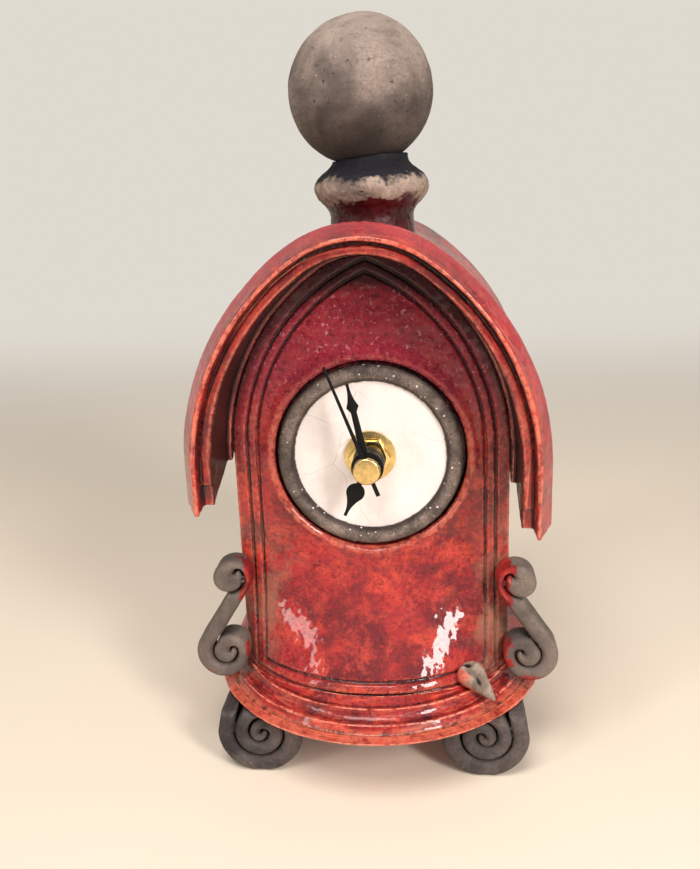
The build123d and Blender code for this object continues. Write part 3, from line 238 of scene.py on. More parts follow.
def mark_edges(piece, reach, height=0.0012):
    """Store how proud or hollow each point is, for glaze that thins on edges and for painted shade in grooves."""
    mesh = piece.data
    count = len(mesh.vertices)
    places, outward = read_points(mesh)
    ends = np.empty(len(mesh.edges) * 2, dtype=np.int64)
    mesh.edges.foreach_get("vertices", ends)
    ends = ends.reshape(-1, 2)
    begin = np.concatenate((ends[:, 0], ends[:, 1]))
    finish = np.concatenate((ends[:, 1], ends[:, 0]))
    shared = np.maximum(np.bincount(begin, minlength=count), 1)
    calm = places.copy()
    for _ in range(reach):
        for axis in range(3):
            calm[:, axis] = np.bincount(begin, weights=calm[finish, axis], minlength=count) / shared
    proud = ((places - calm) * outward).sum(axis=1)
    store_marks(mesh, "edge", np.clip(0.5 + proud / height, 0.0, 1.0))


def store_marks(mesh, name, values):
    """Keep one number for each point of a piece, for its material to read."""
    marks = mesh.attributes.get(name) or mesh.attributes.new(name, "FLOAT", "POINT")
    marks.data.foreach_set("value", np.asarray(values, dtype=np.float32))


def read_mark(tree, name):
    """The number kept for each point, as a material reads it."""
    return add_node(tree, "ShaderNodeAttribute", attribute_name=name).outputs["Fac"]


def new_group(name, numbers, colours, outputs):
    """Shader group with named inputs and outputs, and its end nodes."""
    group = bpy.data.node_groups.new(name, "ShaderNodeTree")
    for kind, values in (("NodeSocketFloat", numbers), ("NodeSocketColor", colours)):
        for label, value in values.items():
            group.interface.new_socket(label, in_out="INPUT", socket_type=kind).default_value = value
    for label in outputs:
        kind = "NodeSocketColor" if label == "Color" else "NodeSocketFloat"
        group.interface.new_socket(label, in_out="OUTPUT", socket_type=kind)
    return group, group.nodes.new("NodeGroupInput").outputs, group.nodes.new("NodeGroupOutput")


def noise(tree, place, scale, detail=5.0, rough=0.6, warp=0.0):
    """Noise on the piece's own coordinates, in features to the metre."""
    values = {"Vector": place, "Scale": scale, "Detail": detail, "Roughness": rough, "Distortion": warp}
    return add_node(tree, "ShaderNodeTexNoise", values).outputs["Fac"]


def stirred_cells(tree, place, scale, stir_scale, stir_detail, stir):
    """Random cells put out of their rows by noise, for pits and grog."""
    stirring = add_node(tree, "ShaderNodeTexNoise", {"Vector": place, "Scale": stir_scale, "Detail": stir_detail})
    shift = add_node(
        tree, "ShaderNodeVectorMath", {0: stirring.outputs["Color"], "Scale": stir}, operation="SCALE"
    )
    moved = add_node(tree, "ShaderNodeVectorMath", {0: place, 1: shift.outputs[0]}, operation="ADD")
    return add_node(tree, "ShaderNodeTexVoronoi", {"Vector": moved.outputs[0], "Scale": scale}).outputs


def tint(tree, share, under, over):
    """Colour over another by a share; colours may be sockets or plain values."""
    return add_node(tree, "ShaderNodeMix", {0: share, 6: under, 7: over}, data_type="RGBA").outputs[2]


def lay_over(tree, colour, *layers):
    """Colour with others laid over it in turn, each by its share."""
    for share, over in layers:
        colour = tint(tree, share, colour, over)
    return colour


# Group: red glaze over clay. It mottles from orange to maroon, takes smoke in patches,
# thins to a bright line on proud edges, and is painted dark in hollows as shade where the glaze also pools, with pits
# and pinholes.
glaze_group, glaze_in, glaze_out = new_group(
    "pooled_glaze",
    {"Smoke Amount": 0.5, "Edge Amount": 0.8, "Pit Amount": 0.5, "Flame Amount": 0.5, "Grain Amount": 0.6},
    {
        "Bright": (0.70, 0.062, 0.030, 1.0),
        "Body": (0.46, 0.020, 0.020, 1.0),
        "Deep": (0.170, 0.008, 0.011, 1.0),
        "Smoke": (0.018, 0.006, 0.006, 1.0),
        "Edge": (0.66, 0.15, 0.085, 1.0),
    },
    ("Color", "Roughness", "Height"),
)
glaze_place, _ = find_place(glaze_group)
glaze_edge = read_mark(glaze_group, "edge")
broad = spread(glaze_group, noise(glaze_group, glaze_place, 62.0, 9.0, 0.72, 0.3), 0.40, 0.60)
flame = spread(glaze_group, noise(glaze_group, glaze_place, 120.0, 10.0, 0.78, 0.3), 0.46, 0.62)
smoke = spread(glaze_group, noise(glaze_group, glaze_place, 75.0, 9.0, 0.74, 0.3), 0.53, 0.66)
curdle = noise(glaze_group, glaze_place, 760.0, 5.0, 0.70, 0.2)
fine = noise(glaze_group, glaze_place, 1900.0, 3.0, 0.7)
ragged = spread(glaze_group, noise(glaze_group, glaze_place, 520.0, 5.0, 0.72), 0.36, 0.60)
pits = stirred_cells(glaze_group, glaze_place, 900.0, 500.0, 3.0, 0.0016)
pit_choice = spread(glaze_group, noise(glaze_group, glaze_place, 210.0, 4.0, 0.7), 0.50, 0.62)
pit = times(glaze_group, spread(glaze_group, pits["Distance"], 0.08, 0.30, 1.0, 0.0), pit_choice)
pit = times(glaze_group, pit, glaze_in["Pit Amount"])
proud_edge = times(glaze_group, spread(glaze_group, glaze_edge, 0.61, 0.82), ragged)
proud_edge = times(glaze_group, proud_edge, glaze_in["Edge Amount"])
flame_share = times(glaze_group, flame, glaze_in["Flame Amount"])
smoke_share = times(glaze_group, smoke, glaze_in["Smoke Amount"])
dark_curd = times(glaze_group, spread(glaze_group, curdle, 0.50, 0.36), glaze_in["Grain Amount"])
light_curd = times(glaze_group, spread(glaze_group, curdle, 0.55, 0.70), glaze_in["Grain Amount"])
glaze_colour = lay_over(
    glaze_group, glaze_in["Deep"],
    (broad, glaze_in["Body"]),
    (flame_share, glaze_in["Bright"]),
    (smoke_share, glaze_in["Smoke"]),
    (dark_curd, glaze_in["Deep"]),
    (times(glaze_group, light_curd, 0.6), glaze_in["Bright"]),
    (spread(glaze_group, fine, 0.35, 0.65, 0.30, 0.0), (0.02, 0.004, 0.006, 1.0)),
    (proud_edge, glaze_in["Edge"]),
    # Painted shade: hollows are darkened to the smoke colour, standing in for shadow in grooves.
    (spread(glaze_group, glaze_edge, 0.45, 0.28), glaze_in["Smoke"]),
    (times(glaze_group, pit, 0.8), glaze_in["Smoke"]),
)
glaze_rough = spread(glaze_group, fine, 0.3, 0.7, 0.10, 0.24)
glaze_rough = sum_up(glaze_group, "ADD", glaze_rough, times(glaze_group, proud_edge, 0.30))
glaze_rough = sum_up(glaze_group, "ADD", glaze_rough, times(glaze_group, smoke_share, 0.10))
glaze_height = times(glaze_group, noise(glaze_group, glaze_place, 300.0, 4.0, 0.6), 0.9)
curd_height = times(glaze_group, curdle, times(glaze_group, glaze_in["Grain Amount"], 0.9))
glaze_height = sum_up(glaze_group, "ADD", glaze_height, curd_height)
glaze_height = sum_up(glaze_group, "SUBTRACT", glaze_height, times(glaze_group, pit, 0.6))
feed(glaze_group, glaze_out, {"Color": glaze_colour, "Roughness": glaze_rough, "Height": glaze_height})


soft_gloss = 0.28


def start_finish(name, group, values, relief, shader_values=None):
    """Material whose look comes from a group: colour, roughness and relief."""
    finish = bpy.data.materials.new(name)
    finish.use_nodes = True
    tree = finish.node_tree
    shader = tree.nodes["Principled BSDF"]
    look = add_node(tree, "ShaderNodeGroup", values, node_tree=group)
    bump = add_node(tree, "ShaderNodeBump", {"Distance": relief, "Height": look.outputs["Height"]})
    links = {"Base Color": look.outputs["Color"], "Roughness": look.outputs["Roughness"], "Normal": bump.outputs[0]}
    feed(tree, shader, {"Specular IOR Level": soft_gloss} | links | (shader_values or {}))
    return finish, tree, look.outputs, shader


def settle(piece, finish, node, body="case"):
    """Give a piece its finish and slot, and let it stand for the solid it was made from."""
    piece.data.materials.clear()
    piece.data.materials.append(finish)
    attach(piece, body)
    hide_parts(node)


base_glaze, *_ = start_finish(
    "base_glaze", glaze_group, {"Smoke Amount": 0.75, "Pit Amount": 0.8, "Edge Amount": 0.45}, 0.0004,
    {"Coat Weight": 0.4},
)
base_plate = clay_copy("base_plate", 0.0008, 4, 0.0007, 0.00012, round_over=0.0012)
settle(base_plate, base_glaze, "base_plate")


# Base moulding: a ridged strip pulled through a die and bent round the plate's front.
# The ridges' tops broke bright where the glaze ran thin, and the die left fine lines along it.
outline_steps, strip_radius = 181, 0.05


def mark_sweep(piece, up_axis, middle_height):
    """Store how far each point of a bent strip lies in from its outer line, and how far along it."""
    places, _ = read_points(piece.data)
    right, up = places[:, 0], places[:, up_axis] - middle_height
    turn, distance = np.arctan2(right, up), np.hypot(right, up)
    steps = np.linspace(-np.pi, np.pi, outline_steps)
    slot = np.clip(np.searchsorted(steps, turn), 1, outline_steps - 1)
    outer = np.zeros(outline_steps)
    np.maximum.at(outer, slot, distance)
    outer_line = np.interp(turn, (steps[1:] + steps[:-1]) / 2.0, outer[1:])
    store_marks(piece.data, "across", outer_line - distance)
    store_marks(piece.data, "along", turn * strip_radius)


streak_group, streak_in, streak_out = new_group("drawn_streaks", {"Width Scale": 1100.0}, {}, ("Streak",))
streak_line = add_node(
    streak_group, "ShaderNodeCombineXYZ",
    {
        "X": read_mark(streak_group, "across"),
        "Y": times(streak_group, read_mark(streak_group, "along"), 0.035),
        "Z": times(streak_group, find_place(streak_group)[1]["Y"], 0.15),
    },
)
streak_noise = noise(streak_group, streak_line.outputs[0], streak_in["Width Scale"], 4.0, 0.65)
feed(streak_group, streak_out, {"Streak": streak_noise})


def streak(tree, colour, share):
    """Dark and bright lines that a die or a wet hand drew along a strip."""
    lines = add_node(tree, "ShaderNodeGroup", node_tree=streak_group).outputs["Streak"]
    dark = times(tree, spread(tree, lines, 0.46, 0.36, 0.0, 0.75), share)
    bright = times(tree, spread(tree, lines, 0.54, 0.68, 0.0, 0.65), share)
    return tint(tree, bright, tint(tree, dark, colour, (0.050, 0.006, 0.008, 1.0)), (0.74, 0.19, 0.11, 1.0))


moulding_glaze, moulding_tree, moulding_look, moulding_shader = start_finish(
    "moulding_glaze", glaze_group,
    {
        "Smoke Amount": 0.25, "Edge Amount": 1.0, "Flame Amount": 0.8, "Pit Amount": 0.6,
        "Edge": (0.80, 0.26, 0.165, 1.0),
    },
    0.0004, {"Coat Weight": 0.5},
)
moulding_place, moulding_axes = find_place(moulding_tree)
hem_share = times(
    moulding_tree, spread(moulding_tree, moulding_axes["Z"], 0.0238, 0.0222),
    spread(moulding_tree, noise(moulding_tree, moulding_place, 420.0, 5.0, 0.7), 0.36, 0.58, 0.10, 0.70),
)
moulding_colour = streak(moulding_tree, moulding_look["Color"], 0.7)
moulding_colour = tint(moulding_tree, hem_share, moulding_colour, (0.70, 0.150, 0.080, 1.0))
feed(moulding_tree, moulding_shader, {"Base Color": moulding_colour})
base_moulding = clay_copy("base_moulding", 0.00032, 1, 0.0006, 0.00016)
mark_edges(base_moulding, 8, 0.00045)
mark_sweep(base_moulding, 1, 0.0)
settle(base_moulding, moulding_glaze, "base_moulding")


# Feet: straps of the same clay rolled up like a shaving, left bare and smoked blue grey.
# The strap's edges were rounded by the fingers, so each turn shows with a dark line beside it, deepened by painted
# shade in the crease.
flat_side, narrow_side, point_spacing = 0.95, 0.3, 0.00015


def find_strap_edges(mesh):
    """Points along the sharp edges of a strap's two flat sides, front first."""
    places = [vertex.co.copy() for vertex in mesh.vertices]
    sides = {}
    for face in mesh.polygons:
        for key in face.edge_keys:
            sides.setdefault(key, []).append(face.normal.y)
    found = ([], [])
    for key, slopes in sides.items():
        if len(slopes) == 2 and max(map(abs, slopes)) > flat_side and min(map(abs, slopes)) < narrow_side:
            begin, end = (places[point] for point in key)
            steps = max(1, math.ceil((end - begin).length / point_spacing))
            for step in range(steps + 1):
                found[max(slopes, key=abs) > 0.0].append(begin.lerp(end, step / steps))
    return found


def round_strap(mesh, strap_edges, radius):
    """Lean a strap's flat sides back towards its edges, so that each turn of the roll is round."""
    for edge_points, outward in zip(strap_edges, (-1.0, 1.0)):
        if not edge_points:
            continue
        face_at = edge_points[0].y
        finder = KDTree(len(edge_points))
        for index, point in enumerate(edge_points):
            finder.insert((point.x, 0.0, point.z), index)
        finder.balance()
        for vertex in mesh.vertices:
            depth = (face_at - vertex.co.y) * outward
            if depth < 2.0 * radius:
                near = min(finder.find((vertex.co.x, 0.0, vertex.co.z))[2], radius)
                drop = radius - math.sqrt(max(radius * radius - (radius - near) ** 2, 0.0))
                vertex.co.y -= outward * drop * (1.0 - max(depth, 0.0) / (2.0 * radius))


clay_group, clay_in, clay_out = new_group(
    "smoked_clay",
    {"Speck Amount": 0.5, "Pit Amount": 0.5, "Patch Scale": 60.0},
    {
        "Light": (0.26, 0.195, 0.160, 1.0),
        "Dark": (0.075, 0.057, 0.050, 1.0),
        "Speck": (0.55, 0.46, 0.38, 1.0),
    },
    ("Color", "Roughness", "Height"),
)
clay_place, _ = find_place(clay_group)
clay_edge = read_mark(clay_group, "edge")
patch = spread(clay_group, noise(clay_group, clay_place, clay_in["Patch Scale"], 6.0, 0.62, 0.5), 0.32, 0.68)
clay_fine = noise(clay_group, clay_place, 1100.0, 5.0, 0.72)
clay_mid = noise(clay_group, clay_place, 300.0, 4.0, 0.6)
grog = stirred_cells(clay_group, clay_place, 640.0, 420.0, 4.0, 0.0026)
grog_pick = add_node(clay_group, "ShaderNodeSeparateColor", {"Color": grog["Color"]}).outputs
speck = times(
    clay_group, spread(clay_group, grog["Distance"], 0.06, 0.26, 1.0, 0.0), spread(clay_group, grog_pick[0], 0.90, 0.98)
)
clay_pit = times(
    clay_group, spread(clay_group, grog["Distance"], 0.10, 0.36, 1.0, 0.0), spread(clay_group, grog_pick[1], 0.86, 0.96)
)
speck = times(clay_group, speck, clay_in["Speck Amount"])
clay_pit = times(clay_group, clay_pit, clay_in["Pit Amount"])
clay_colour = lay_over(
    clay_group, clay_in["Dark"],
    (patch, clay_in["Light"]),
    (spread(clay_group, clay_fine, 0.35, 0.68, 0.0, 0.45), clay_in["Dark"]),
    # Painted shade: hollows on the bare clay are darkened nearly to black, standing in for shadow in creases.
    (spread(clay_group, clay_edge, 0.47, 0.28), (0.012, 0.010, 0.011, 1.0)),
    (spread(clay_group, clay_edge, 0.58, 0.90, 0.0, 0.45), clay_in["Light"]),
    (speck, clay_in["Speck"]),
    (times(clay_group, clay_pit, 0.85), (0.02, 0.018, 0.018, 1.0)),
)
clay_height = sum_up(clay_group, "ADD", times(clay_group, clay_mid, 0.6), times(clay_group, clay_fine, 0.35))
clay_height = sum_up(clay_group, "ADD", clay_height, times(clay_group, speck, 0.3))
clay_height = sum_up(clay_group, "SUBTRACT", clay_height, times(clay_group, clay_pit, 0.9))
clay_rough = spread(clay_group, clay_fine, 0.3, 0.7, 0.62, 0.85)
feed(clay_group, clay_out, {"Color": clay_colour, "Roughness": clay_rough, "Height": clay_height})

foot_clay, *_ = start_finish(
    "foot_clay", clay_group,
    {"Light": (0.140, 0.110, 0.098, 1.0), "Dark": (0.030, 0.024, 0.024, 1.0), "Speck Amount": 0.3}, 0.0003,
)
for foot in ("foot_front_left", "foot_front_right", "foot_back_left", "foot_back_right"):
    rolled_foot = clay_copy(foot, 0.00023, 1, 0.0005, 0.00012, keep=0.42, strap_round=0.0019)
    for vertex in rolled_foot.data.vertices:
        vertex.co.z = max(vertex.co.z, 0.0)
    settle(rolled_foot, foot_clay, foot)

# Side walls and back wall: plain slabs that stand on the base plate under the roof.
# They were glazed with the rest and took more smoke, being turned away from the flame.
wall_glaze, *_ = start_finish(
    "wall_glaze", glaze_group,
    {"Smoke Amount": 0.55, "Flame Amount": 0.35, "Pit Amount": 0.7, "Edge Amount": 0.40}, 0.0004, {"Coat Weight": 0.4},
)
for wall in ("side_wall_left", "side_wall_right", "back_wall"):
    slab = clay_copy(wall, 0.0008, 4, 0.0006, 0.00012)
    settle(slab, wall_glaze, wall)

# Front panel: the arched slab that carries the dial, incised with two lines while leather hard.
# Its head is granular and magenta with painted glints, its foot glossy and orange, with bare tan strips at the sides.
# Its incised lines are painted dark as shade, and so is the top of the arch in the hood's shadow.
def drift(tree, place, scale, detail, amount, rough=0.6):
    """Noise about zero, so that the border it is added to wanders."""
    return times(tree, sum_up(tree, "SUBTRACT", noise(tree, place, scale, detail, rough), 0.5), amount)


def move_points(mesh, places):
    """Put every point of a mesh in its new place."""
    mesh.vertices.foreach_set("co", places.ravel())
    mesh.update()


panel_glaze, panel_tree, panel_look, panel_shader = start_finish(
    "panel_glaze", glaze_group,
    {"Smoke Amount": 0.22, "Edge Amount": 0.8, "Flame Amount": 0.85, "Pit Amount": 0.8, "Grain Amount": 0.8},
    0.0005, {"Coat Weight": 0.6, "Coat Roughness": 0.06},
)
panel_place, panel_axes = find_place(panel_tree)
panel_drift = drift(panel_tree, panel_place, 45.0, 5.0, 0.05)
panel_height = sum_up(panel_tree, "ADD", panel_axes["Z"], panel_drift)
head_share = spread(panel_tree, panel_height, 0.092, 0.128)
side_reach = sum_up(panel_tree, "ADD", sum_up(panel_tree, "ABSOLUTE", panel_axes["X"]), panel_drift)
side_share = times(
    panel_tree, spread(panel_tree, side_reach, 0.024, 0.040), spread(panel_tree, panel_height, 0.092, 0.052)
)
side_patches = spread(panel_tree, noise(panel_tree, panel_place, 90.0, 6.0, 0.7), 0.40, 0.60)
panel_grit = noise(panel_tree, panel_place, 560.0, 5.0, 0.72)
dark_grit = spread(panel_tree, panel_grit, 0.46, 0.36, 0.0, 0.7)
bright_grit = spread(panel_tree, panel_grit, 0.56, 0.68, 0.0, 0.55)
# Painted highlight: sparse pale pink flecks on the head stand in for glints of light.
painted_glint = spread(panel_tree, noise(panel_tree, panel_place, 800.0, 2.0, 0.5), 0.62, 0.72)
# Painted shade: the incised lines and other grooves of the upper panel are darkened to near black.
incised = spread(panel_tree, read_mark(panel_tree, "edge"), 0.43, 0.33, 0.0, 0.9)
# Painted shadow: the panel's top under the hood is darkened to near black.
painted_hood_shadow = spread(panel_tree, read_mark(panel_tree, "painted_hood_shadow"), 0.30, 1.0, 0.0, 0.85)
panel_colour = lay_over(
    panel_tree, panel_look["Color"],
    (times(panel_tree, head_share, 0.65), (0.50, 0.026, 0.066, 1.0)),
    (times(panel_tree, times(panel_tree, side_share, side_patches), 0.78), (0.30, 0.13, 0.080, 1.0)),
    (times(panel_tree, head_share, dark_grit), (0.085, 0.006, 0.014, 1.0)),
    (times(panel_tree, head_share, bright_grit), (0.66, 0.120, 0.165, 1.0)),
    (times(panel_tree, head_share, painted_glint), (0.72, 0.22, 0.27, 1.0)),
    (
        times(panel_tree, incised, spread(panel_tree, panel_height, 0.070, 0.110, 0.1, 1.0)),
        (0.014, 0.003, 0.005, 1.0),
    ),
    (painted_hood_shadow, (0.016, 0.004, 0.005, 1.0)),
)
panel_relief = times(panel_tree, panel_grit, spread(panel_tree, panel_height, 0.090, 0.125, 0.2, 2.4))
panel_relief = sum_up(panel_tree, "ADD", panel_look["Height"], panel_relief)
panel_bump = add_node(panel_tree, "ShaderNodeBump", {"Distance": 0.0009, "Height": panel_relief})
feed(panel_tree, panel_shader, {"Base Color": panel_colour, "Normal": panel_bump.outputs[0]})
front_panel = clay_copy("front_panel", 0.00034, 1, 0.0006, 0.00018, keep=0.39)
recess_wall, lip_start, lip_radius, lip_end = 0.0285, 0.0300, 0.0303, 0.0350
lip_inside, lip_outside, lip_height, lip_mark = 0.0008, 0.0019, 0.0007, 0.48
places, outward = read_points(front_panel.data)
reach = np.hypot(places[:, 0], places[:, 2] - dial_height)
lip = np.exp(-(((reach - lip_radius) / np.where(reach < lip_radius, lip_inside, lip_outside)) ** 2))
places[:, 1] -= np.where((outward[:, 1] < -0.6) & (reach > recess_wall), lip_height * lip, 0.0)
move_points(front_panel.data, places)
mark_edges(front_panel, 14)
# The lip round the recess is kept out of the painted groove shade.
edges = np.empty(len(places))
front_panel.data.attributes["edge"].data.foreach_get("value", edges)
on_lip = (reach > lip_start) & (reach < lip_end)
store_marks(front_panel.data, "edge", np.where(on_lip, np.maximum(edges, lip_mark), edges))
# Painted shadow: how far up into the arch a point lies, for the hood's shadow painted on the panel's top.
arch_foot, arch_rise, arch_half_width = 0.094, 0.056, 0.0437
rise = np.clip((places[:, 2] - arch_foot) / arch_rise, 0.0, None)
under_arch = np.where(rise > 0.0, np.hypot(places[:, 0] / arch_half_width, rise), 0.0)
store_marks(front_panel.data, "painted_hood_shadow", np.clip((under_arch - 0.86) / 0.12, 0.0, 1.0))
settle(front_panel, panel_glaze, "front_panel")

# Hood: a stepped moulding bent over the arch, like a pulled handle laid round the front.
# Its rim and ridge broke to bright orange, and the hood's underside is painted dark as shade.
hood_glaze, hood_tree, hood_look, hood_shader = start_finish(
    "hood_glaze", glaze_group,
    {"Smoke Amount": 0.32, "Edge Amount": 1.0, "Flame Amount": 0.6, "Pit Amount": 0.8, "Grain Amount": 0.7},
    0.0005,
)
painted_soffit_shade = read_mark(hood_tree, "painted_soffit_shade")
hood_across = read_mark(hood_tree, "across")
hood_band = spread(hood_tree, hood_across, 0.0035, 0.0020, 0.0, 0.5)
hood_colour = tint(hood_tree, hood_band, hood_look["Color"], (0.36, 0.016, 0.030, 1.0))
hood_colour = streak(hood_tree, hood_colour, spread(hood_tree, hood_across, 0.0025, 0.0045, 0.15, 1.0))
# Painted shade: the underside deep under the hood is darkened to near black.
hood_colour = tint(hood_tree, painted_soffit_shade, hood_colour, (0.020, 0.005, 0.005, 1.0))
hood_coat = spread(hood_tree, painted_soffit_shade, 0.0, 0.6, 0.75, 0.0)
feed(hood_tree, hood_shader, {"Base Color": hood_colour, "Coat Weight": hood_coat})
hood_moulding = clay_copy("hood_moulding", 0.00036, 1, 0.0008, 0.00018, keep=0.5)
hood_middle, soffit_front = 0.075, -0.0345
places, outward = read_points(hood_moulding.data)
to_axis = np.stack((-places[:, 0], hood_middle - places[:, 2]), axis=1)
to_axis /= np.linalg.norm(to_axis, axis=1, keepdims=True)
inward = to_axis[:, 0] * outward[:, 0] + to_axis[:, 1] * outward[:, 2]
# Painted shade: mark the inward facing underside behind the hood's front for darkening.
behind = np.clip((places[:, 1] - soffit_front) / 0.004, 0.0, 1.0)
store_marks(hood_moulding.data, "painted_soffit_shade", behind * np.clip((inward - 0.1) / 0.3, 0.0, 1.0))
mark_sweep(hood_moulding, 2, hood_middle)
settle(hood_moulding, hood_glaze, "hood_moulding")

# Roof: the curved slab behind the hood, laid over the walls while soft and swayed in drying.
roof_vault = clay_copy("roof_vault", 0.0007, 4, 0.0008, 0.00014)
settle(roof_vault, wall_glaze, "roof_vault")

# Neck: a small thrown pot turned on the wheel and luted to the roof. Its bulge stayed bare
# and rough, the joint under the ball is black, and red glaze ran down below the bulge.
neck_finish, neck_tree, neck_look, neck_shader = start_finish(
    "neck_finish", clay_group,
    {"Light": (0.54, 0.40, 0.31, 1.0), "Dark": (0.11, 0.078, 0.065, 1.0), "Speck Amount": 0.8, "Pit Amount": 0.9},
    0.0005,
)
neck_place, neck_axes = find_place(neck_tree)
neck_glaze = add_node(
    neck_tree, "ShaderNodeGroup",
    {
        "Smoke Amount": 1.0, "Body": (0.060, 0.005, 0.007, 1.0), "Bright": (0.16, 0.014, 0.016, 1.0),
        "Deep": (0.040, 0.005, 0.007, 1.0),
    },
    node_tree=glaze_group,
).outputs
neck_height = sum_up(neck_tree, "ADD", neck_axes["Z"], drift(neck_tree, neck_place, 130.0, 4.0, 0.012))
glazed_foot = spread(neck_tree, neck_height, 0.1708, 0.1694)
black_joint = spread(neck_tree, neck_height, 0.1750, 0.1768)
neck_colour = lay_over(
    neck_tree, neck_look["Color"], (glazed_foot, neck_glaze["Color"]), (black_joint, (0.009, 0.008, 0.012, 1.0))
)
neck_rough = add_node(
    neck_tree, "ShaderNodeMix", {0: glazed_foot, 2: neck_look["Roughness"], 3: neck_glaze["Roughness"]},
    data_type="FLOAT",
)
feed(neck_tree, neck_shader, {"Base Color": neck_colour, "Roughness": neck_rough.outputs[0]})
finial_neck = clay_copy("finial_neck", 0.0004, 1, 0.0012, 0.0006, grain_size=0.0016)
settle(finial_neck, neck_finish, "finial_neck")

# Ball: two pinched bowls joined to a hollow ball, burnished a little and smoked grey brown.
# The top is painted paler where the lamp above lights it, and the underside painted dark as shade and as the smoke of
# the reduction bin blackened it.
ball_clay, ball_tree, ball_look, ball_shader = start_finish(
    "ball_clay", clay_group,
    {
        "Light": (0.31, 0.240, 0.200, 1.0), "Dark": (0.105, 0.080, 0.069, 1.0),
        "Speck Amount": 1.0, "Pit Amount": 0.8,
    },
    0.00035,
)
ball_place, ball_axes = find_place(ball_tree)
ball_height = sum_up(ball_tree, "ADD", ball_axes["Z"], drift(ball_tree, ball_place, 60.0, 5.0, 0.020))
ball_stretch = add_node(ball_tree, "ShaderNodeMapping", {"Vector": ball_place, "Scale": (1.0, 1.0, 3.0)})
wiped = noise(ball_tree, ball_stretch.outputs[0], 170.0, 6.0, 0.7)
ball_colour = lay_over(
    ball_tree, ball_look["Color"],
    # Painted light and shade: a paler top where light falls from above, a near black underside as shade and smoke.
    (spread(ball_tree, ball_height, 0.204, 0.221, 0.0, 0.45), (0.46, 0.36, 0.29, 1.0)),
    (spread(ball_tree, ball_height, 0.205, 0.184, 0.0, 0.90), (0.024, 0.018, 0.016, 1.0)),
    (spread(ball_tree, wiped, 0.48, 0.36, 0.0, 0.32), (0.060, 0.046, 0.040, 1.0)),
)
feed(ball_tree, ball_shader, {"Base Color": ball_colour})
finial_ball = clay_copy("finial_ball", 0.0005, 2, 0.0009, 0.00022, grain_size=0.0040)
settle(finial_ball, ball_clay, "finial_ball")

# Scrolls: a rounded strap rolled into a volute at each end and pressed on the case's corner.
# They are bare smoked clay, with red glaze that crept over their inner side and their foot.
scroll_finish, scroll_tree, scroll_look, scroll_shader = start_finish(
    "scroll_finish", clay_group,
    {"Light": (0.235, 0.178, 0.147, 1.0), "Dark": (0.085, 0.066, 0.056, 1.0), "Speck Amount": 0.3}, 0.0003,
)
scroll_place, scroll_axes = find_place(scroll_tree)
scroll_glaze = add_node(scroll_tree, "ShaderNodeGroup", node_tree=glaze_group).outputs
scroll_drift = drift(scroll_tree, scroll_place, 170.0, 4.0, 0.012)
scroll_inset = sum_up(
    scroll_tree, "ADD", sum_up(scroll_tree, "ABSOLUTE", scroll_axes["X"]),
    spread(scroll_tree, scroll_axes["X"], -0.001, 0.001, 0.0, -0.0018),
)
scroll_height = sum_up(scroll_tree, "ADD", scroll_axes["Z"], scroll_drift)
inner_side = spread(scroll_tree, sum_up(scroll_tree, "ADD", scroll_inset, scroll_drift), 0.0402, 0.0392)
wet_foot = spread(scroll_tree, scroll_height, 0.0280, 0.0268, 0.0, 0.85)
glazed_part = sum_up(scroll_tree, "MAXIMUM", inner_side, wet_foot)
scroll_colour = tint(scroll_tree, glazed_part, scroll_look["Color"], scroll_glaze["Color"])
feed(scroll_tree, scroll_shader, {"Base Color": scroll_colour})
for scroll in ("scroll_left", "scroll_right"):
    rolled_scroll = clay_copy(scroll, 0.00026, 2, 0.0005, 0.00010, strap_round=0.0017)
    settle(rolled_scroll, scroll_finish, scroll)

# Bird skull: a small modelled ornament of paler clay, stuck where the panel meets the base.
skull_finish, skull_tree, skull_look, skull_shader = start_finish(
    "skull_finish", clay_group,
    {
        "Light": (0.50, 0.38, 0.29, 1.0), "Dark": (0.15, 0.100, 0.075, 1.0),
        "Speck Amount": 0.2, "Patch Scale": 180.0,
    },
    0.0002,
)
skull_glaze = add_node(
    skull_tree, "ShaderNodeGroup",
    {"Body": (0.60, 0.110, 0.070, 1.0), "Bright": (0.78, 0.270, 0.180, 1.0), "Deep": (0.34, 0.050, 0.035, 1.0)},
    node_tree=glaze_group,
).outputs
skull_colour = lay_over(
    skull_tree, skull_look["Color"], (read_mark(skull_tree, "glazed"), skull_glaze["Color"]),
    (read_mark(skull_tree, "socket"), (0.012, 0.009, 0.009, 1.0)),
)
feed(skull_tree, skull_shader, {"Base Color": skull_colour})
bird_skull = clay_copy("bird_skull", 0.0003, 1, 0.0002, 0.00004)
bpy.ops.object.mode_set(mode="EDIT")
bpy.ops.mesh.select_all(action="SELECT")
bpy.ops.mesh.convex_hull()
bpy.ops.object.mode_set(mode="OBJECT")
shape_with(bird_skull, "body", "REMESH", mode="VOXEL", voxel_size=0.0002)
bpy.ops.object.shade_smooth()
places, _ = read_points(bird_skull.data)
beak_way = np.array((0.6409, -0.6189, -0.4540))
cheek_way = np.array((-0.6947, -0.7193, 0.0))
crown_way = np.cross(cheek_way, beak_way)
middle = np.array((0.0298, -0.0256, 0.0316))
along, aside, above = ((places - middle) @ way for way in (beak_way, cheek_way, crown_way))
share = (along - along.min()) / (along.max() - along.min())
stations = (0.0, 0.08, 0.20, 0.35, 0.50, 0.65, 0.80, 0.92, 1.0)
half_wide = np.interp(share, stations, (0.0014, 0.0036, 0.0047, 0.0044, 0.0034, 0.0025, 0.00165, 0.0009, 0.0004))
half_high = np.interp(share, stations, (0.0012, 0.0027, 0.0036, 0.0034, 0.0027, 0.0020, 0.0014, 0.0008, 0.0004))
swell = np.maximum(np.hypot(aside / half_wide, above / half_high), 0.05)
aside, above = aside / swell, above / swell
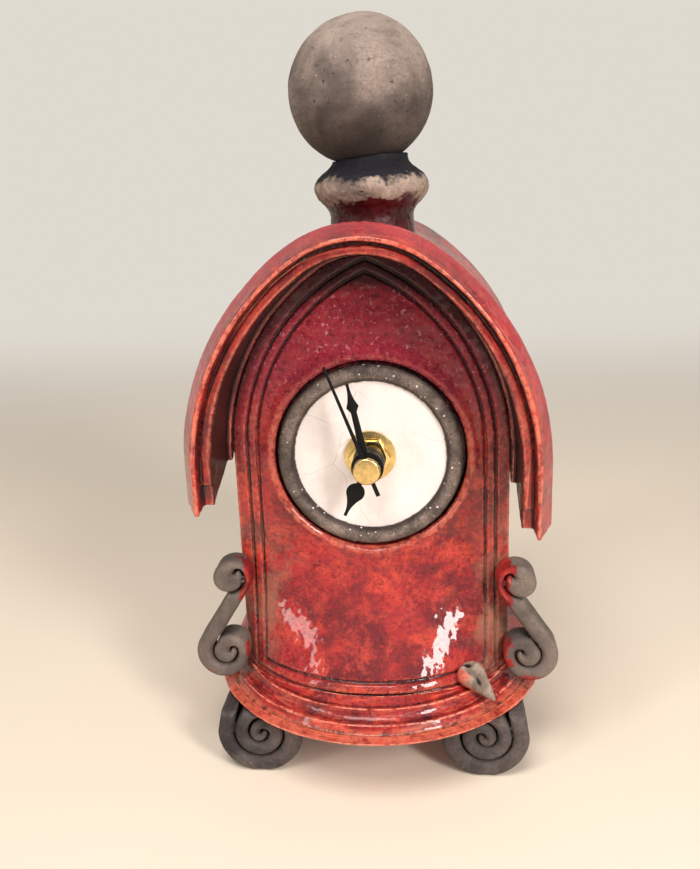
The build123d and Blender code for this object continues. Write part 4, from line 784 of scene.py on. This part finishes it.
on_top = above > 0.0


def dent(at_along, at_aside, long, wide):
    """Soft oval mark on the skull's upper side."""
    return np.where(on_top, np.exp(-(((along - at_along) / long) ** 2) - (((aside - at_aside) / wide) ** 2)), 0.0)


nostril = dent(0.0032, 0.0016, 0.0012, 0.0005)
eye_notch = dent(-0.0030, 0.0004, 0.0013, 0.0009)
brow_hollow = dent(-0.0008, 0.0019, 0.0016, 0.0013)
beak_ridge = dent(0.0030, -0.0014, 0.0045, 0.0008)
above += -0.0003 * nostril - 0.0022 * eye_notch - 0.0010 * brow_hollow + 0.0005 * beak_ridge
places = middle + along[:, None] * beak_way + aside[:, None] * cheek_way + above[:, None] * crown_way
move_points(bird_skull.data, places)
mark_edges(bird_skull, 10, 0.0040)
# Painted shade: the nostril, eye notch and brow hollow are darkened to near black.
hollows = 2.2 * nostril + 2.4 * eye_notch + 0.85 * brow_hollow
store_marks(bird_skull.data, "socket", np.clip(hollows - 0.35, 0.0, 1.0))
cheek_glaze = np.clip((aside - 0.0026) / 0.0008, 0.0, 1.0) * np.clip((0.0020 - along) / 0.002, 0.0, 1.0)
under_glaze = np.clip((-above - 0.0002) / 0.0006, 0.0, 1.0) * np.clip((0.0070 - along) / 0.002, 0.0, 1.0)
store_marks(bird_skull.data, "glazed", np.maximum(cheek_glaze, under_glaze))
settle(bird_skull, skull_finish, "bird_skull")


# Dial: a thick white disc glazed to craze, with soot drawn into its net of fine cracks.
def reach_from_dial(tree, place):
    """How far a point lies from the dial's axis."""
    flat = add_node(tree, "ShaderNodeVectorMath", {0: place, 1: (1.0, 0.0, 1.0)}, operation="MULTIPLY")
    ends = {0: flat.outputs[0], 1: (0.0, 0.0, dial_height)}
    return add_node(tree, "ShaderNodeVectorMath", ends, operation="DISTANCE").outputs["Value"]


dial_glaze = bpy.data.materials.new("dial_glaze")
dial_glaze.use_nodes = True
dial_tree = dial_glaze.node_tree
dial_place, _ = find_place(dial_tree)
dial_warp = add_node(dial_tree, "ShaderNodeTexNoise", {"Vector": dial_place, "Scale": 70.0, "Detail": 3.0})
dial_shift = add_node(
    dial_tree, "ShaderNodeVectorMath",
    {0: dial_warp.outputs["Color"], 1: (0.010, 0.010, 0.010), 2: dial_place}, operation="MULTIPLY_ADD",
)
crazing = []
for cell_scale, crack_width, crack_depth in ((44.0, 0.007, 0.40), (95.0, 0.010, 0.10)):
    cells = add_node(
        dial_tree, "ShaderNodeTexVoronoi", {"Vector": dial_shift.outputs[0], "Scale": cell_scale},
        feature="DISTANCE_TO_EDGE",
    )
    crazing.append(spread(dial_tree, cells.outputs["Distance"], 0.0, crack_width, crack_depth, 0.0))
crackle = times(
    dial_tree, sum_up(dial_tree, "MAXIMUM", *crazing),
    spread(dial_tree, noise(dial_tree, dial_place, 60.0, 3.0), 0.42, 0.60),
)
dial_cloud = spread(dial_tree, noise(dial_tree, dial_place, 80.0, 6.0, 0.65), 0.35, 0.68)
ring_foot_reach = sum_up(
    dial_tree, "ADD", reach_from_dial(dial_tree, dial_place),
    drift(dial_tree, dial_place, 260.0, 6.0, 0.0014, 0.75),
)
dial_colour = lay_over(
    dial_tree, (0.88, 0.79, 0.75, 1.0),
    (dial_cloud, (0.80, 0.69, 0.65, 1.0)),
    (crackle, (0.30, 0.22, 0.18, 1.0)),
    # Painted shade: a dark band where the ring sits on the dial.
    (spread(dial_tree, ring_foot_reach, 0.0226, 0.0231), (0.050, 0.034, 0.028, 1.0)),
)
dial_relief = noise(dial_tree, dial_place, 260.0, 4.0)
dial_bump = add_node(dial_tree, "ShaderNodeBump", {"Distance": 0.0002, "Height": dial_relief})
feed(
    dial_tree, dial_tree.nodes["Principled BSDF"],
    {"Base Color": dial_colour, "Roughness": 0.22, "Coat Weight": 0.5, "Normal": dial_bump.outputs[0]},
)
dial_disc = clay_copy("dial_disc", 0.0005, 2, 0.0003, 0.00005)
settle(dial_disc, dial_glaze, "dial_disc")

# Ring: a half round coil of clay round the dial, bare, smoked and full of grog, its inner and outer edges painted dark
# as shade.
ring_clay, ring_tree, ring_look, ring_shader = start_finish(
    "ring_clay", clay_group,
    {
        "Light": (0.30, 0.225, 0.185, 1.0), "Dark": (0.075, 0.056, 0.048, 1.0),
        "Speck Amount": 1.0, "Pit Amount": 1.0, "Patch Scale": 120.0,
    },
    0.0006,
)
ring_place, _ = find_place(ring_tree)
ring_reach = reach_from_dial(ring_tree, ring_place)
ring_grit = noise(ring_tree, ring_place, 1900.0, 4.0, 0.8)
ring_grog = add_node(ring_tree, "ShaderNodeTexVoronoi", {"Vector": ring_place, "Scale": 900.0}).outputs
ring_pick = add_node(ring_tree, "ShaderNodeSeparateColor", {"Color": ring_grog["Color"]}).outputs
ring_white = times(
    ring_tree, spread(ring_tree, ring_grog["Distance"], 0.34, 0.20), spread(ring_tree, ring_pick[0], 0.90, 0.94)
)
ring_edge_shade = (0.022, 0.016, 0.014, 1.0)
ring_colour = lay_over(
    ring_tree, ring_look["Color"],
    (spread(ring_tree, ring_grit, 0.50, 0.38, 0.0, 0.6), (0.030, 0.022, 0.019, 1.0)),
    (spread(ring_tree, ring_grit, 0.60, 0.70, 0.0, 0.6), (0.50, 0.41, 0.36, 1.0)),
    # Painted shade: darkened inner and outer edges stand in for the ring's round form turning from the light.
    (spread(ring_tree, ring_reach, 0.0246, 0.0232, 0.0, 0.75), ring_edge_shade),
    (spread(ring_tree, ring_reach, 0.0270, 0.0279, 0.0, 0.6), ring_edge_shade),
    (ring_white, (0.80, 0.72, 0.64, 1.0)),
)
feed(ring_tree, ring_shader, {"Base Color": ring_colour})
dial_ring = clay_copy("dial_ring", 0.00028, 2, 0.0007, 0.00034, grain_size=0.0009)
settle(dial_ring, ring_clay, "dial_ring")


# Washer, nut and bush: turned and pressed brass that holds the movement to the dial.
def crisp_copy(node, edge_round):
    """Copy of a machined solid with fine broken edges."""
    piece = merged_copy(node, "_fine", 0.000001, 0.5)
    shape_with(piece, "broken_edge", "BEVEL", width=edge_round, segments=2, angle_limit=math.radians(35.0))
    bpy.ops.object.shade_smooth_by_angle(angle=math.radians(32.0))
    return piece


metal_group, metal_in, metal_out = new_group(
    "worked_metal",
    {"Wear Amount": 0.4, "Base Rough": 0.25},
    {"Metal": (0.80, 0.58, 0.24, 1.0), "Tarnish": (0.42, 0.27, 0.10, 1.0)},
    ("Color", "Roughness", "Height"),
)
metal_place, _ = find_place(metal_group)
worn = times(
    metal_group, spread(metal_group, noise(metal_group, metal_place, 420.0), 0.40, 0.70), metal_in["Wear Amount"]
)
feed(
    metal_group, metal_out,
    {
        "Color": tint(metal_group, worn, metal_in["Metal"], metal_in["Tarnish"]),
        "Roughness": sum_up(metal_group, "ADD", metal_in["Base Rough"], times(metal_group, worn, 0.3)),
        "Height": noise(metal_group, metal_place, 5200.0, 3.0),
    },
)
brass, *_ = start_finish("turned_brass", metal_group, {}, 0.00002, {"Metallic": 1.0})
bright_brass, *_ = start_finish(
    "bright_brass", metal_group, {"Metal": (0.86, 0.64, 0.27, 1.0), "Wear Amount": 0.15, "Base Rough": 0.14},
    0.00001, {"Metallic": 1.0},
)
settle(crisp_copy("brass_washer", 0.00012), brass, "brass_washer")
for fixing, edge_round in (("hex_nut", 0.00018), ("threaded_bush", 0.00008)):
    settle(crisp_copy(fixing, edge_round), bright_brass, fixing)

# Rubber washer: it takes up the slack between the movement and the rough back of the panel.
plastic_group, plastic_in, plastic_out = new_group(
    "moulded_plastic",
    {"Base Rough": 0.45, "Dust Amount": 0.2},
    {"Plastic": (0.02, 0.02, 0.022, 1.0), "Dust": (0.20, 0.19, 0.18, 1.0)},
    ("Color", "Roughness", "Height"),
)
plastic_place, _ = find_place(plastic_group)
dust = spread(plastic_group, noise(plastic_group, plastic_place, 190.0, 6.0, 0.7), 0.45, 0.75)
dust = times(plastic_group, dust, plastic_in["Dust Amount"])
feed(
    plastic_group, plastic_out,
    {
        "Color": tint(plastic_group, dust, plastic_in["Plastic"], plastic_in["Dust"]),
        "Roughness": sum_up(plastic_group, "ADD", plastic_in["Base Rough"], times(plastic_group, dust, 0.8)),
        "Height": noise(plastic_group, plastic_place, 2600.0, 2.0, 0.5),
    },
)


def coat_solid(node, finish):
    """Give a solid whose shape is right a better finish."""
    for place in solids[node].material_slots:
        place.material = finish


rubber, *_ = start_finish(
    "washer_rubber", plastic_group, {"Plastic": (0.018, 0.018, 0.018, 1.0), "Base Rough": 0.75}, 0.00004
)
coat_solid("rubber_washer", rubber)

# Movement: a moulded black case with its cover, wheels of white nylon between two plates,
# a stepping motor with its coil, a small circuit board and one battery cell in its bay.
case_plastic, *_ = start_finish("case_plastic", plastic_group, {"Dust Amount": 0.35}, 0.00006)
for moulded in ("movement_case", "movement_cover"):
    settle(crisp_copy(moulded, 0.0002), case_plastic, moulded)
nylon, *_ = start_finish(
    "wheel_nylon", plastic_group,
    {"Plastic": (0.74, 0.72, 0.66, 1.0), "Dust": (0.50, 0.46, 0.38, 1.0), "Base Rough": 0.38}, 0.00002,
)
for wheel in (
    "gear_plate", "rotor", "intermediate_wheel", "second_wheel", "third_wheel",
    "centre_wheel", "cannon_pinion", "motion_wheel", "hour_wheel",
):
    coat_solid(wheel, nylon)
steel, *_ = start_finish(
    "pressed_steel", metal_group,
    {"Metal": (0.60, 0.60, 0.61, 1.0), "Tarnish": (0.38, 0.37, 0.36, 1.0), "Base Rough": 0.32},
    0.00002, {"Metallic": 1.0},
)
for pressed in ("stator", "quartz_crystal", "contact_negative", "contact_positive"):
    coat_solid(pressed, steel)
board_lacquer, *_ = start_finish(
    "board_lacquer", plastic_group, {"Plastic": (0.02, 0.16, 0.06, 1.0), "Base Rough": 0.30}, 0.00002
)
coat_solid("circuit_board", board_lacquer)
copper, copper_tree, _, copper_shader = start_finish(
    "wound_copper", metal_group, {"Metal": (0.78, 0.30, 0.14, 1.0), "Tarnish": (0.42, 0.14, 0.06, 1.0)},
    0.00008, {"Metallic": 1.0},
)
winding = add_node(
    copper_tree, "ShaderNodeTexWave",
    {"Vector": find_place(copper_tree)[0], "Scale": 2600.0, "Distortion": 0.4}, bands_direction="X",
)
copper_bump = add_node(copper_tree, "ShaderNodeBump", {"Distance": 0.00008, "Height": winding.outputs["Fac"]})
feed(copper_tree, copper_shader, {"Normal": copper_bump.outputs[0]})
coat_solid("coil", copper)

# Battery cell: a steel can in a plain two-colour jacket, copper at its positive end.
cell_jacket, cell_tree, cell_look, cell_shader = start_finish(
    "cell_jacket", plastic_group, {"Plastic": (0.030, 0.032, 0.036, 1.0), "Base Rough": 0.28}, 0.00002
)
cell_length = find_place(cell_tree)[1]["X"]
copper_end = spread(cell_tree, cell_length, 0.0098, 0.0100)
bare_nub = spread(cell_tree, cell_length, 0.02375, 0.02385)
cell_colour = lay_over(
    cell_tree, cell_look["Color"], (copper_end, (0.60, 0.30, 0.12, 1.0)), (bare_nub, (0.60, 0.60, 0.60, 1.0))
)
cell_metal = sum_up(cell_tree, "MAXIMUM", copper_end, bare_nub)
feed(cell_tree, cell_shader, {"Base Color": cell_colour, "Metallic": cell_metal})
settle(crisp_copy("battery_cell", 0.0004), cell_jacket, "battery_cell", "battery")

# Setting knob: a fluted black wheel on the back of the movement, for turning the hands.
settle(crisp_copy("setting_knob", 0.00015), case_plastic, "setting_knob", "setting")

# Hands: stamped from thin sheet and painted satin black, with a brass cap on the second hand.
hand_paint, *_ = start_finish(
    "hand_paint", plastic_group,
    {"Plastic": (0.003, 0.003, 0.003, 1.0), "Base Rough": 0.5, "Dust Amount": 0.02},
    0.00001, {"Specular IOR Level": 0.2},
)
for hand, body in (("hour_hand", "hour"), ("minute_hand", "minute"), ("second_hand", "second")):
    settle(crisp_copy(hand, 0.00008), hand_paint, hand, body)
settle(crisp_copy("second_hand_cap", 0.0002), brass, "second_hand_cap", "second")

bpy.ops.object.select_all(action="DESELECT")
